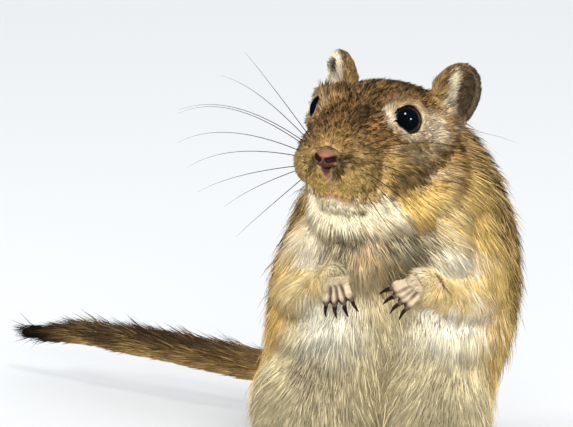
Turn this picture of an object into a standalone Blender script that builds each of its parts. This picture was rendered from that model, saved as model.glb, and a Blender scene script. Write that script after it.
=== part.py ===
"""A life-size gerbil that sits up on its haunches with its forepaws held at the chest.

Metres, +Z up. The animal faces -Y and its own left side is at +X. The origin lies on the
floor, in the middle of the flat of the rump on which it sits.
"""

import math
import random

import bmesh
import bpy
from mathutils import Matrix, Vector
from mathutils.bvhtree import BVHTree

MM = 0.001
GAP = 0.3 * MM  # kept between pieces that touch

# Posture of the head: the middle between the eyes, and how the head is turned about it
HEAD_POINT = (-4.6 * MM, -15.0 * MM, 77.0 * MM)
HEAD_YAW = math.radians(-19.0)
HEAD_PITCH = math.radians(-8.0)
HEAD_ROLL = math.radians(2.8)

# Trunk: height, right and left side, belly and back, each in millimetres from the origin
TRUNK_SECTIONS = (
    (-1.5, -15.0, 9.5, -11.0, 17.0),
    (4.0, -20.0, 13.0, -15.0, 23.5),
    (11.0, -24.0, 16.5, -20.0, 27.5),
    (20.0, -26.0, 20.8, -23.5, 28.5),
    (30.0, -26.0, 24.0, -25.5, 28.0),
    (40.0, -24.8, 25.3, -25.8, 26.0),
    (50.0, -22.4, 25.0, -24.0, 23.5),
    (58.0, -19.4, 22.8, -20.5, 20.0),
    (66.0, -15.0, 18.8, -15.5, 16.5),
    (73.0, -9.5, 13.4, -9.0, 12.0),
    (77.0, -3.5, 7.0, -3.0, 6.0),
)
TRUNK_SIDES = 32

# Head, in its own frame: distance behind the eyes, top, underside, half width, widest height
HEAD_SECTIONS = (
    (-15.4, -6.4, -9.2, 1.6, -7.6),
    (-14.4, -4.9, -10.8, 3.5, -8.2),
    (-12.2, -2.8, -12.6, 5.6, -8.8),
    (-9.0, -0.2, -15.0, 6.9, -9.0),
    (-5.0, 2.3, -17.6, 8.2, -8.8),
    (0.0, 4.8, -18.8, 10.6, -7.6),
    (5.0, 6.3, -18.8, 12.8, -7.6),
    (10.0, 6.8, -18.8, 13.8, -7.2),
    (15.0, 6.2, -17.6, 13.6, -6.6),
    (20.0, 3.4, -15.0, 11.6, -6.2),
    (24.0, -1.0, -10.5, 6.5, -5.8),
)
HEAD_SIDES = 28
HEAD_SQUARENESS = 2.35

# Haunches: centre and radii of the right and the left thigh
THIGHS = {
    "right": ((-15.4, -7.0, 17.0), (12.0, 20.5, 17.5)),
    "left": ((8.4, -7.0, 20.0), (12.6, 20.0, 17.0)),
}
THIGH_MARGIN = 1.3 * MM

# Forelegs: shoulder, elbow and wrist with the leg's radius there
FORELEGS = {
    "right": (((-14.0, -8.5, 52.0), 7.2), ((-18.2, -16.0, 43.4), 5.6), ((-8.4, -28.6, 48.0), 2.9)),
    "left": (((16.6, -8.5, 52.0), 7.2), ((18.0, -16.0, 43.4), 5.6), ((7.2, -28.4, 47.2), 2.9)),
}
FORELEG_MARGIN = 2.0 * MM

# Forepaws: the way the digits hang from the wrist, and the way the back of the paw faces
FOREPAWS = {
    "right": ((0.16, -0.30, -0.94), (-0.25, -0.93, 0.28)),
    "left": ((-0.80, -0.34, -0.50), (-0.10, -0.80, 0.60)),
}
PALM_LENGTH = 2.6 * MM
PALM_WIDTH = 4.8 * MM
PALM_THICKNESS = 2.8 * MM
DIGITS = 4
DIGIT_LENGTH = 2.9 * MM
DIGIT_RADIUS = 0.72 * MM
DIGIT_FAN = math.radians(13.0)
FORE_CLAW_LENGTH = 2.6 * MM
CLAW_RADIUS = 0.52 * MM

# Hind feet: heel and ball of the foot, half thickness, and five toes
HIND_FEET = {
    "right": ((-14.0, -8.0), (-18.0, -29.5)),
    "left": ((8.5, -8.0), (12.5, -29.5)),
}
FOOT_HEIGHT = 5.4 * MM
FOOT_RADIUS = 3.3 * MM
TOE_RADIUS = 1.25 * MM
TOE_LENGTHS = (3.6, 6.4, 7.0, 6.2, 3.8)
TOE_FAN = math.radians(9.0)
HIND_CLAW_LENGTH = 2.5 * MM

# Tail: its line from inside the rump to the end of the flesh, its half width and, above that
# round part, the height of the crest of hair along its top
TAIL_LINE = (
    ((-3.0, 22.0, 12.0), 4.4, 0.0),
    ((-6.5, 28.5, 11.7), 4.1, 0.0),
    ((-15.0, 32.5, 11.1), 3.6, 0.2),
    ((-34.0, 37.0, 10.5), 2.75, 1.3),
    ((-47.0, 41.5, 11.1), 2.35, 2.6),
    ((-60.0, 47.0, 11.5), 2.15, 3.4),
    ((-73.0, 53.0, 11.5), 1.9, 3.0),
    ((-82.0, 57.0, 11.2), 1.3, 1.8),
    ((-87.5, 59.6, 11.0), 0.6, 0.6),
)
TAIL_PARTS = (("tail_base", 0.0, 0.36), ("tail_middle", 0.36, 0.66), ("tail_brush", 0.66, 1.0))
TAIL_SIDES = 14
LOCK_RINGS = 14
LOCK_WIDTH = 2.1 * MM
LOCK_THICKNESS = 0.9 * MM
SHORTEST_LOCK = 3.6 * MM

# Eyes, in the head's frame: the lids lie on a swelling round each eye
EYE_CENTRE = (8.1, 0.2, -0.2)
EYE_RADIUS = 3.35 * MM
EYE_WAY = (0.72, -0.66, 0.22)
ORBIT_RADII = (4.05, 4.05, 4.05)
LID_HALF_LENGTH = math.radians(64.0)
LID_HALF_HEIGHT = math.radians(56.0)
LID_THICKNESS = 0.5 * MM

# Ears, in the head's frame: the foot of each ear, its size and the way it faces
EAR_FOOT = (10.7, 12.5, -0.4)
EAR_HEIGHT = 12.2 * MM
EAR_WIDTH = 9.4 * MM
EAR_DEPTH = 6.4 * MM
EAR_WALL = 0.85 * MM
EAR_TURN_OUT = {"right": math.radians(46.0), "left": math.radians(28.0)}
EAR_LEAN_OUT = {"right": math.radians(21.0), "left": math.radians(13.0)}
EAR_LEAN_BACK = math.radians(20.0)

# Nose and mouth, in the head's frame
NOSE_CENTRE = (0.0, -14.6, -7.9)
NOSE_RADII = (1.75, 1.6, 1.8)
NOSTRIL_RADIUS = 0.42 * MM
MOUTH_RADIUS = 0.45 * MM
CLEFT_HEIGHTS = (-9.6, -11.1, -12.6, -14.1, -15.2)
LIP_LINE = ((0.0, -15.2), (14.0, -15.7), (32.0, -15.8), (52.0, -15.5), (68.0, -15.0))

# Triangles left on the nodes that come out of the cuts with more than they need
TRIANGLES = {
    "torso": 1800,
    "neck": 420,
    "head": 3700,
    "thigh_right": 680,
    "thigh_left": 680,
    "foreleg_right": 540,
    "foreleg_left": 540,
    "ear_right": 520,
    "ear_left": 520,
    "tail_base": 260,
}

# Looks: colour and roughness
FUR = ((0.50, 0.36, 0.20, 1.0), 0.85)
PALE_FUR = ((0.80, 0.74, 0.62, 1.0), 0.85)
BARE_SKIN = ((0.62, 0.44, 0.38, 1.0), 0.6)
HORN = ((0.10, 0.06, 0.05, 1.0), 0.4)
EYE_BLACK = ((0.01, 0.01, 0.012, 1.0), 0.05)

PARTS = "gerbil"
WORK = "work"


def clear_scene():
    for obj in list(bpy.data.objects):
        bpy.data.objects.remove(obj)
    for name in (PARTS, WORK):
        if name not in bpy.data.collections:
            bpy.context.scene.collection.children.link(bpy.data.collections.new(name))


def make_material(name, colour, roughness):
    made = bpy.data.materials.new(name)
    made.use_nodes = True
    shader = made.node_tree.nodes["Principled BSDF"]
    shader.inputs["Base Color"].default_value = colour
    shader.inputs["Roughness"].default_value = roughness
    shader.inputs["Metallic"].default_value = 0.0
    made.diffuse_color = colour
    return made


def link(obj):
    bpy.data.collections[WORK].objects.link(obj)
    return obj


def object_of(name, bm):
    mesh = bpy.data.meshes.new(name)
    bm.to_mesh(mesh)
    bm.free()
    return link(bpy.data.objects.new(name, mesh))


def evaluated_mesh(obj):
    graph = bpy.context.evaluated_depsgraph_get()
    return bpy.data.meshes.new_from_object(obj.evaluated_get(graph))


def apply_modifiers(obj):
    mesh = evaluated_mesh(obj)
    obj.modifiers.clear()
    obj.data = mesh
    return obj


def copy_of(obj, name):
    made = bpy.data.objects.new(name, obj.data.copy())
    made.matrix_world = obj.matrix_world
    return link(made)


def points_mm(points):
    return [Vector(p) * MM for p in points]


def head_matrix():
    """Carries the head's own frame, with its origin between the eyes, to the animal's frame."""
    turn = (
        Matrix.Rotation(HEAD_YAW, 4, "Z")
        @ Matrix.Rotation(HEAD_PITCH, 4, "X")
        @ Matrix.Rotation(HEAD_ROLL, 4, "Y")
    )
    return Matrix.Translation(HEAD_POINT) @ turn


def ellipsoid(name, centre, radii, segments=32, matrix=None):
    """An ellipsoid with its centre and radii in metres, carried by the matrix if one is given."""
    bm = bmesh.new()
    bmesh.ops.create_uvsphere(bm, u_segments=segments, v_segments=segments // 2, radius=1.0)
    place = Matrix.Translation(centre) @ Matrix.Diagonal((*radii, 1.0))
    bm.transform(matrix @ place if matrix else place)
    return object_of(name, bm)


def box(name, centre, sides, matrix=None):
    bm = bmesh.new()
    bmesh.ops.create_cube(bm, size=1.0)
    place = Matrix.Translation(centre) @ Matrix.Diagonal((*sides, 1.0))
    bm.transform(matrix @ place if matrix else place)
    return object_of(name, bm)


def tube(name, points, radii, sides=3, matrix=None):
    """A round tube through the points, which tapers between its radii, as a closed mesh."""
    curve = bpy.data.curves.new(name, "CURVE")
    curve.dimensions = "3D"
    curve.bevel_depth = 1.0
    curve.bevel_resolution = sides
    curve.use_fill_caps = True
    spline = curve.splines.new("POLY")
    spline.points.add(len(points) - 1)
    for point, place, radius in zip(spline.points, points, radii):
        place = matrix @ Vector(place) if matrix else Vector(place)
        point.co = (*place, 1.0)
        point.radius = radius
    holder = link(bpy.data.objects.new(name, curve))
    mesh = evaluated_mesh(holder)
    bpy.data.objects.remove(holder)
    bm = bmesh.new()
    bm.from_mesh(mesh)
    bmesh.ops.remove_doubles(bm, verts=bm.verts, dist=0.001 * MM)
    bmesh.ops.recalc_face_normals(bm, faces=bm.faces)
    return object_of(name, bm)


def spline_through(points, values, steps):
    """Points and values read along a Catmull-Rom curve through the given ones."""
    places = []
    numbers = []
    ends = [points[0] * 2 - points[1], *points, points[-1] * 2 - points[-2]]
    for i in range(len(points) - 1):
        a, b, c, d = ends[i : i + 4]
        for step in range(steps):
            t = step / steps
            place = 0.5 * (2 * b + (c - a) * t + (2 * a - 5 * b + 4 * c - d) * t * t)
            places.append(place + 0.5 * (3 * b - a - 3 * c + d) * t * t * t)
            numbers.append(values[i] * (1 - t) + values[i + 1] * t)
    places.append(points[-1].copy())
    numbers.append(values[-1])
    return places, numbers


def loft(name, rings, matrix=None):
    """A closed skin over rings of points that all have the same count."""
    bm = bmesh.new()
    rows = [[bm.verts.new(matrix @ p if matrix else p) for p in ring] for ring in rings]
    count = len(rings[0])
    for lower, upper in zip(rows, rows[1:]):
        for i in range(count):
            j = (i + 1) % count
            bm.faces.new((lower[i], lower[j], upper[j], upper[i]))
    bm.faces.new(rows[0][::-1])
    bm.faces.new(rows[-1])
    bmesh.ops.triangulate(bm, faces=[f for f in bm.faces if len(f.verts) > 4])
    bmesh.ops.recalc_face_normals(bm, faces=bm.faces)
    return object_of(name, bm)


def boolean(obj, other, operation, solver="EXACT"):
    """Cuts obj by the other object, or joins them, and removes the other."""
    modifier = obj.modifiers.new("Boolean", "BOOLEAN")
    modifier.operation = operation
    modifier.solver = solver
    modifier.object = other
    apply_modifiers(obj)
    bpy.data.objects.remove(other)
    return weld(obj)


def weld(obj):
    """Merges the points that a cut leaves a hair's breadth apart, where that keeps it closed."""
    for distance in (0.002, 0.0005, 0.0001, 0.0):
        bm = bmesh.new()
        bm.from_mesh(obj.data)
        if distance:
            bmesh.ops.remove_doubles(bm, verts=bm.verts, dist=distance * MM)
            bmesh.ops.dissolve_degenerate(bm, edges=bm.edges, dist=distance * MM / 2)
        bmesh.ops.triangulate(bm, faces=bm.faces)
        closed = all(edge.is_manifold for edge in bm.edges)
        if closed or not distance:
            bm.to_mesh(obj.data)
        bm.free()
        if closed:
            break
    return obj


def join_all(name, pieces):
    """The pieces in one mesh, still overlapping."""
    bm = bmesh.new()
    for piece in pieces:
        mesh = piece.data.copy()
        mesh.transform(piece.matrix_world)
        bm.from_mesh(mesh)
        bpy.data.objects.remove(piece)
    return object_of(name, bm)


def fuse(obj, voxel, smoothing):
    """Makes overlapping bodies one smooth closed surface."""
    remesh = obj.modifiers.new("Remesh", "REMESH")
    remesh.mode = "VOXEL"
    remesh.voxel_size = voxel
    smooth = obj.modifiers.new("Smooth", "SMOOTH")
    smooth.factor = 0.5
    smooth.iterations = smoothing
    return apply_modifiers(obj)


def thin_out(obj, triangles):
    """Leaves about that many triangles on the object."""
    obj.data.calc_loop_triangles()
    decimate = obj.modifiers.new("Decimate", "DECIMATE")
    decimate.ratio = min(1.0, triangles / len(obj.data.loop_triangles))
    return apply_modifiers(obj)


def grown(obj, name, distance):
    """A copy of a smooth body whose surface lies that far outside it."""
    made = copy_of(obj, name)
    bm = bmesh.new()
    bm.from_mesh(made.data)
    bm.normal_update()
    moves = [v.normal.copy() for v in bm.verts]
    for vertex, normal in zip(bm.verts, moves):
        vertex.co += normal * distance
    bm.to_mesh(made.data)
    bm.free()
    return made


def keep_largest(obj):
    """Drops everything but the largest closed surface of the mesh."""
    weld(obj)
    bm = bmesh.new()
    bm.from_mesh(obj.data)
    left = set(bm.verts)
    islands = []
    while left:
        start = left.pop()
        island = {start}
        edge_of_search = [start]
        while edge_of_search:
            vertex = edge_of_search.pop()
            for edge in vertex.link_edges:
                other = edge.other_vert(vertex)
                if other not in island:
                    island.add(other)
                    edge_of_search.append(other)
        left -= island
        islands.append(island)
    islands.sort(key=len)
    loose = [v for island in islands[:-1] for v in island]
    bmesh.ops.delete(bm, geom=loose, context="VERTS")
    bm.to_mesh(obj.data)
    bm.free()
    return obj


def take(whole, region, name, look):
    """The part of the whole inside the region becomes a node, and the whole keeps the rest."""
    node = copy_of(whole, name)
    outside = grown(region, "outside", GAP)
    boolean(node, region, "INTERSECT")
    boolean(whole, outside, "DIFFERENCE")
    keep_largest(whole)
    return finish(node, name, look)


def finish(obj, name, look):
    """Names a node, thins it out, gives it a material of its own and shades it."""
    keep_largest(obj)
    if name in TRIANGLES and TRIANGLES[name] < len(obj.data.polygons):
        keep_largest(thin_out(obj, TRIANGLES[name]))
    obj.name = name
    obj.data.name = name
    obj.data.materials.clear()
    obj.data.materials.append(make_material(f"{name}_look", *look))
    obj.data.shade_smooth()
    obj.data.set_sharp_from_angle(angle=math.radians(40.0))
    bpy.data.collections[PARTS].objects.link(obj)
    bpy.data.collections[WORK].objects.unlink(obj)
    return obj


def trunk_shape():
    """Belly, chest and back, from the floor to inside the head, as a loft up the body."""
    rings = []
    for z, right, left, front, back in [tuple(s) for s in rows_between(TRUNK_SECTIONS, 3)]:
        ring = []
        for i in range(TRUNK_SIDES):
            angle = 2 * math.pi * i / TRUNK_SIDES
            x = (right + left) / 2 + (left - right) / 2 * math.cos(angle)
            y = (front + back) / 2 + (back - front) / 2 * math.sin(angle)
            ring.append(Vector((x, y, z)) * MM)
        rings.append(ring)
    return loft("trunk_shape", rings)


def rows_between(sections, steps):
    """Rows of five numbers read smoothly between the given rows."""
    pairs = [Vector((s[0], s[1], s[2])) for s in sections]
    others = [Vector((s[0], s[3], s[4])) for s in sections]
    first, _ = spline_through(pairs, [0.0] * len(pairs), steps)
    second, _ = spline_through(others, [0.0] * len(others), steps)
    return [(a[0], a[1], a[2], b[1], b[2]) for a, b in zip(first, second)]


def head_shape():
    """Muzzle, face and skull as a loft back from the nose, with whisker pads and cheeks."""
    place = head_matrix()
    rings = []
    for y, top, bottom, half, widest in rows_between(HEAD_SECTIONS, 3):
        ring = []
        for i in range(HEAD_SIDES):
            angle = 2 * math.pi * i / HEAD_SIDES
            across = math.copysign(abs(math.cos(angle)) ** (2 / HEAD_SQUARENESS), math.cos(angle))
            rise = math.copysign(abs(math.sin(angle)) ** (2 / HEAD_SQUARENESS), math.sin(angle))
            height = top - widest if rise > 0 else widest - bottom
            ring.append(Vector((half * across, y, widest + height * rise)) * MM)
        rings.append(ring)
    pieces = [loft("skull", rings, place)]
    soft_forms = (
        ((3.6, -9.6, -9.3), (4.6, 5.4, 4.8)),
        ((6.2, 4.2, -9.0), (6.8, 11.0, 8.8)),
        (EYE_CENTRE, ORBIT_RADII),
    )
    for side in (-1, 1):
        for centre, radii in soft_forms:
            middle = Vector((centre[0] * side, centre[1], centre[2])) * MM
            pieces.append(ellipsoid("soft_form", middle, points_mm([radii])[0], 24, place))
    jaw = ellipsoid("jaw", Vector((0, -3.0, -15.2)) * MM, Vector((5.4, 8.0, 3.8)) * MM, 24, place)
    pieces.append(jaw)
    return join_all("head_shape", pieces)


def foreleg_line(side, margin=0.0):
    points = points_mm([p for p, _ in FORELEGS[side]])
    radii = [r * MM + margin for _, r in FORELEGS[side]]
    return spline_through(points, radii, 6)


def thigh_shape(side, margin=0.0, segments=40):
    centre, radii = THIGHS[side]
    grow = Vector((margin, margin, margin))
    return ellipsoid("thigh_shape", Vector(centre) * MM, Vector(radii) * MM + grow, segments)


def whole_body():
    """Everything of one flesh, apart from feet, paws, ears and tail."""
    pieces = [trunk_shape(), head_shape()]
    for side in ("right", "left"):
        pieces.append(thigh_shape(side))
        pieces.append(tube("foreleg_shape", *foreleg_line(side), sides=4))
    body = fuse(join_all("whole_body", pieces), 0.55 * MM, 16)
    floor = box("floor", Vector((0, 0, -20)) * MM, Vector((300, 300, 40)) * MM)
    return boolean(body, floor, "DIFFERENCE")


def foot_shape(side):
    """A long hind foot, flat on the floor, with five toes."""
    heel, ball = (Vector((*p, 0.0)) * MM for p in HIND_FEET[side])
    forward = (ball - heel).normalized()
    across = Vector((-forward.y, forward.x, 0.0))
    rise = Vector((0, 0, FOOT_HEIGHT / 2))
    line = [heel + rise * 1.25, heel.lerp(ball, 0.5) + rise * 0.95, ball + rise * 0.75]
    radii = [FOOT_RADIUS * 1.02, FOOT_RADIUS * 0.86, FOOT_RADIUS * 0.94]
    pieces = [tube("sole", *spline_through(line, radii, 4), sides=4)]
    pieces.append(ellipsoid("heel", line[0], (FOOT_RADIUS * 1.1,) * 3, 20))
    pieces.append(ellipsoid("ball", line[2], (FOOT_RADIUS * 1.08, FOOT_RADIUS, FOOT_RADIUS * 0.8), 20))
    tips = []
    for i, length in enumerate(TOE_LENGTHS):
        off = i - (len(TOE_LENGTHS) - 1) / 2
        way = (forward - across * math.sin(TOE_FAN * off)).normalized()
        root = ball - across * off * 1.25 * MM + Vector((0, 0, TOE_RADIUS * 1.3))
        knuckle = root + way * length * 0.55 * MM + Vector((0, 0, 0.35 * MM))
        tip = root + way * length * MM - Vector((0, 0, 0.35 * MM))
        line, radii = spline_through([root, knuckle, tip], [TOE_RADIUS, TOE_RADIUS, TOE_RADIUS * 0.72], 3)
        pieces.append(tube("toe", line, radii, sides=3))
        tips.append((tip, way))
    foot = fuse(join_all("foot_shape", pieces), 0.36 * MM, 3)
    floor = box("floor", Vector((0, 0, -20)) * MM, Vector((300, 300, 40)) * MM)
    thin_out(foot, 500)
    return boolean(foot, floor, "DIFFERENCE"), tips


def paw_frame(side):
    """The wrist, the way the digits hang, the way across the paw and the way its back faces."""
    wrist = Vector(FORELEGS[side][2][0]) * MM
    down = Vector(FOREPAWS[side][0]).normalized()
    back = Vector(FOREPAWS[side][1])
    across = down.cross(back).normalized()
    return wrist, down, across, across.cross(down).normalized()


def paw_shape(side):
    """Palm and four digits hanging from the wrist."""
    wrist, down, across, back = paw_frame(side)
    palm = wrist + down * PALM_LENGTH * 0.55
    turn = Matrix((back, across, down)).transposed().to_4x4()
    radii = (PALM_THICKNESS / 2, PALM_WIDTH / 2, PALM_LENGTH * 0.75)
    pieces = [ellipsoid("palm", (0, 0, 0), radii, 20, Matrix.Translation(palm) @ turn)]
    pieces.append(tube("wrist", [wrist - down * 2.2 * MM, palm], [2.2 * MM, 2.0 * MM], sides=4))
    tips = []
    for i in range(DIGITS):
        off = i - (DIGITS - 1) / 2
        way = (down + across * math.sin(DIGIT_FAN * off)).normalized()
        root = palm + across * off * 1.16 * MM + down * 0.6 * MM
        length = DIGIT_LENGTH * (1.0 if abs(off) < 1 else 0.86)
        knuckle = root + way * length * 0.55 + back * 0.55 * MM
        tip = root + way * length - back * 0.35 * MM
        radii = [DIGIT_RADIUS, DIGIT_RADIUS * 1.04, DIGIT_RADIUS * 0.82]
        pieces.append(tube("digit", *spline_through([root, knuckle, tip], radii, 3), sides=3))
        tips.append((tip, (way - back * 0.15).normalized(), back))
    paw = fuse(join_all("paw_shape", pieces), 0.25 * MM, 2)
    return thin_out(paw, 460), tips


def claw(name, root, way, back, length, skin):
    """A curved claw that starts in the toe, with the toe's own surface cut away from it."""
    middle = root + way * length * 0.5 + back * 0.12 * length
    tip = root + way * length - back * 0.18 * length
    radii = [CLAW_RADIUS, CLAW_RADIUS * 0.8, 0.06 * MM]
    made = tube(name, *spline_through([root, middle, tip], radii, 2), sides=0)
    boolean(made, grown(skin, "toe_skin", GAP), "DIFFERENCE")
    return finish(made, name, HORN)


def make_feet(whole):
    """Hind feet with their claws. The haunch above is cut clear of each foot."""
    for side in ("right", "left"):
        foot, tips = foot_shape(side)
        boolean(whole, grown(foot, "foot_space", GAP), "DIFFERENCE")
        finish(foot, f"hind_foot_{side}", BARE_SKIN)
        up = Vector((0, 0, 1))
        for i, (tip, way) in enumerate(tips):
            name = f"hind_claw_{side}_{i + 1}"
            claw(name, tip, way, up, HIND_CLAW_LENGTH, foot)


def make_paws(whole):
    """Forelegs cut at the wrist, then the paws with their claws."""
    for side in ("right", "left"):
        line, radii = foreleg_line(side, FORELEG_MARGIN)
        shoulder = ellipsoid("shoulder", line[0], (radii[0] * 1.04,) * 3, 24)
        region = join_all("foreleg_region", [tube("arm", line, radii, sides=5), shoulder])
        region = thin_out(fuse(region, 0.6 * MM, 8), 300)
        paw, tips = paw_shape(side)
        wrist, down, across, back = paw_frame(side)
        turn = Matrix.Translation(wrist) @ Matrix((back, across, down)).transposed().to_4x4()
        beyond = 12 * MM
        leg_side = box("leg_side", (0, 0, -beyond / 2), (beyond,) * 3, turn)
        foreleg = take(whole, region, f"foreleg_{side}", FUR)
        boolean(paw, leg_side, "DIFFERENCE")
        boolean(foreleg, grown(paw, "paw_space", GAP), "DIFFERENCE")
        boolean(whole, grown(paw, "paw_space", GAP), "DIFFERENCE")
        keep_largest(foreleg)
        finish(paw, f"forepaw_{side}", BARE_SKIN)
        for i, (tip, way, up) in enumerate(tips):
            name = f"fore_claw_{side}_{i + 1}"
            claw(name, tip, way, up, FORE_CLAW_LENGTH, paw)


def tail_points():
    """The tail's middle line, with its half width and its crest height at every point."""
    points = points_mm([row[0] for row in TAIL_LINE])
    sizes = [Vector((row[1], row[2])) * MM for row in TAIL_LINE]
    return spline_through(points, sizes, 6)


def tail_frame(points, i):
    """The way along the tail, to its left and up, at one point of its line."""
    a = points[max(i - 1, 0)]
    b = points[min(i + 1, len(points) - 1)]
    way = (b - a).normalized()
    side = way.cross(Vector((0, 0, 1))).normalized()
    return way, side, side.cross(way).normalized()


def tail_shape(name, points, sizes, first, end):
    """One length of the tail, round below and drawn up to a narrow crest on top."""
    rings = []
    for i in range(first, end + 1):
        way, side, up = tail_frame(points, i)
        middle = points[i]
        if i == first and first:
            middle = middle + way * GAP
        ring = []
        for k in range(TAIL_SIDES):
            turn = 2 * math.pi * k / TAIL_SIDES
            above = max(math.cos(turn), 0.0)
            reach = sizes[i][0] + sizes[i][1] * above**2
            width = sizes[i][0] * (1 - 0.25 * above * min(sizes[i][1] / sizes[i][0], 1.0))
            ring.append(middle + side * math.sin(turn) * width + up * math.cos(turn) * reach)
        rings.append(ring)
    return loft(name, rings)


def tail_lock(start, way, out, length, width):
    """A flat tapered lock of hair that leaves the tail, bends and ends in a point."""
    across = way.cross(out).normalized()
    rows = ((-0.12, 0.7, -0.07), (0.34, 1.0, 0.05), (0.7, 0.7, 0.08), (1.0, 0.0, 0.07))
    bm = bmesh.new()
    rings = []
    for along, wide, lift in rows[:-1]:
        middle = start + way * along * length + out * lift * length
        half = across * width / 2 * wide
        thick = out * LOCK_THICKNESS / 2
        corners = (middle - half, middle - thick, middle + half, middle + thick)
        rings.append([bm.verts.new(c) for c in corners])
    tip = bm.verts.new(start + way * rows[-1][0] * length + out * rows[-1][2] * length)
    for lower, upper in zip(rings, rings[1:]):
        for i in range(4):
            j = (i + 1) % 4
            bm.faces.new((lower[i], lower[j], upper[j], upper[i]))
    for i in range(4):
        bm.faces.new((rings[-1][i], rings[-1][(i + 1) % 4], tip))
    bm.faces.new(rings[0][::-1])
    bmesh.ops.triangulate(bm, faces=bm.faces)
    bmesh.ops.recalc_face_normals(bm, faces=bm.faces)
    return object_of("lock", bm)


def tail_locks(points, sizes, first, last):
    """Locks along the crest, and all round the brush, which close to a point past its end."""
    draw = random.Random(7)
    whole = sum((b - a).length for a, b in zip(points, points[1:]))
    made = []
    for ring in range(LOCK_RINGS):
        share = 0.37 + 0.60 * ring / (LOCK_RINGS - 1)
        room = (last - share) * whole - 0.5 * MM if last < 1.0 else 20 * MM
        if share < first or room < SHORTEST_LOCK:
            continue
        i = min(int(share * (len(points) - 1)), len(points) - 2)
        way, side, up = tail_frame(points, i)
        low = 180 if share > 0.72 else 50
        count = 5 if share > 0.72 else 3
        brush = max(0.0, (share - 0.72) / 0.25)
        for k in range(count):
            place = (k + 0.5 * (ring % 2)) / count if low == 180 else (k - 1) / 2
            turn = math.radians(2 * low * place) if low == 180 else math.radians(low * place * 2)
            turn += draw.uniform(-0.12, 0.12)
            crest = 0.5 + 0.5 * math.cos(turn)
            out = (up * math.cos(turn) + side * math.sin(turn)).normalized()
            reach = sizes[i][0] + sizes[i][1] * max(math.cos(turn), 0.0) ** 2
            length = (7.5 + 2.5 * crest - 1.5 * brush) * MM * draw.uniform(0.9, 1.1)
            lean = (way + out * (0.02 + 0.22 * crest - 0.34 * brush * (1.25 - crest))).normalized()
            rest = (out - lean * out.dot(lean)).normalized()
            if crest > 0.8:
                rest = (rest + lean.cross(rest) * 1.3 * (-1) ** (ring + k)).normalized()
            root = points[i] + out * reach * 0.6
            made.append(tail_lock(root, lean, rest, min(length, room), LOCK_WIDTH))
    return made


def join_locks(obj, locks):
    """Joins the locks to the node in one union."""
    group = bpy.data.collections.new("locks")
    bpy.context.scene.collection.children.link(group)
    for lock in locks:
        group.objects.link(lock)
        bpy.data.collections[WORK].objects.unlink(lock)
    modifier = obj.modifiers.new("Boolean", "BOOLEAN")
    modifier.operation = "UNION"
    modifier.solver = "EXACT"
    modifier.operand_type = "COLLECTION"
    modifier.collection = group
    apply_modifiers(obj)
    for lock in locks:
        bpy.data.objects.remove(lock)
    bpy.data.collections.remove(group)
    return obj


def make_tail(whole):
    """The tail in three lengths, the outer two with the longer hair of its crest and brush."""
    points, sizes = tail_points()
    last = len(points) - 1
    for name, first, end in TAIL_PARTS:
        a = round(first * last)
        b = round(end * last)
        part = tail_shape(name, points, sizes, a, b)
        locks = tail_locks(points, sizes, first, end)
        if locks:
            join_locks(part, locks)
        if not a:
            boolean(whole, grown(part, "tail_space", GAP), "DIFFERENCE")
        else:
            way, side, up = tail_frame(points, a)
            turn = Matrix((up, side, way)).transposed().to_4x4()
            stop = Matrix.Translation(points[a] + way * GAP) @ turn
            boolean(part, box("stop", (0, 0, -10 * MM), (20 * MM,) * 3, stop), "DIFFERENCE")
        finish(part, name, FUR)


def ear_matrix(side, word):
    """Carries an ear's own frame, with its foot at the origin and its mouth at -Y, to the body."""
    foot = Vector((EAR_FOOT[0] * side, EAR_FOOT[1], EAR_FOOT[2])) * MM
    return (
        head_matrix()
        @ Matrix.Translation(foot)
        @ Matrix.Rotation(EAR_LEAN_OUT[word] * side, 4, "Y")
        @ Matrix.Rotation(-EAR_LEAN_BACK, 4, "X")
        @ Matrix.Rotation(EAR_TURN_OUT[word] * side, 4, "Z")
    )


def ear_shape(side, word):
    """A thin oval cup, open to the front, with a rounded rim and a narrow foot."""
    place = ear_matrix(side, word)
    half = EAR_HEIGHT / 2
    radii = Vector((EAR_WIDTH / 2, EAR_DEPTH / 2, half * 1.12))
    centre = Vector((0, 0, half * 0.92))
    cup = ellipsoid("ear_cup", centre, radii, 32, place)
    wall = Vector((EAR_WALL, EAR_WALL * 0.6, EAR_WALL))
    hollow = ellipsoid("hollow", centre + Vector((0, -EAR_WALL * 0.8, 0)), radii - wall, 32, place)
    boolean(cup, hollow, "DIFFERENCE")
    front = Matrix.Rotation(math.radians(6.0), 4, "X")
    boolean(cup, box("front", (0, -20.6 * MM, half), (60 * MM, 40 * MM, 60 * MM), place @ front), "DIFFERENCE")
    root = Vector((0, 0.2 * MM, 0.2 * MM))
    foot = ellipsoid("ear_foot", root, Vector((EAR_WIDTH * 0.43, 3.2 * MM, 3.3 * MM)), 24, place)
    fold_at = Vector((-side * EAR_WIDTH * 0.28, -1.5 * MM, EAR_HEIGHT * 0.20))
    fold = ellipsoid("ear_fold", fold_at, Vector((1.5, 1.1, 3.4)) * MM, 20, place)
    notch_at = Vector((-side * EAR_WIDTH * 0.16, -0.2 * MM, EAR_HEIGHT * 0.17))
    notch = ellipsoid("ear_notch", notch_at, Vector((2.0, 1.7, 2.0)) * MM, 20, place)
    ear = fuse(join_all("ear_shape", [cup, foot, fold, notch]), 0.22 * MM, 2)
    return thin_out(ear, 440)


def eye_frame(side):
    """The centre of an eye and the frame whose Z looks out of it, both in the head's frame."""
    centre = Vector((EYE_CENTRE[0] * side, EYE_CENTRE[1], EYE_CENTRE[2])) * MM
    outward = Vector((EYE_WAY[0] * side, EYE_WAY[1], EYE_WAY[2])).normalized()
    turn = outward.to_track_quat("Z", "Y").to_matrix().to_4x4()
    return centre, Matrix.Translation(centre) @ turn


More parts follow.
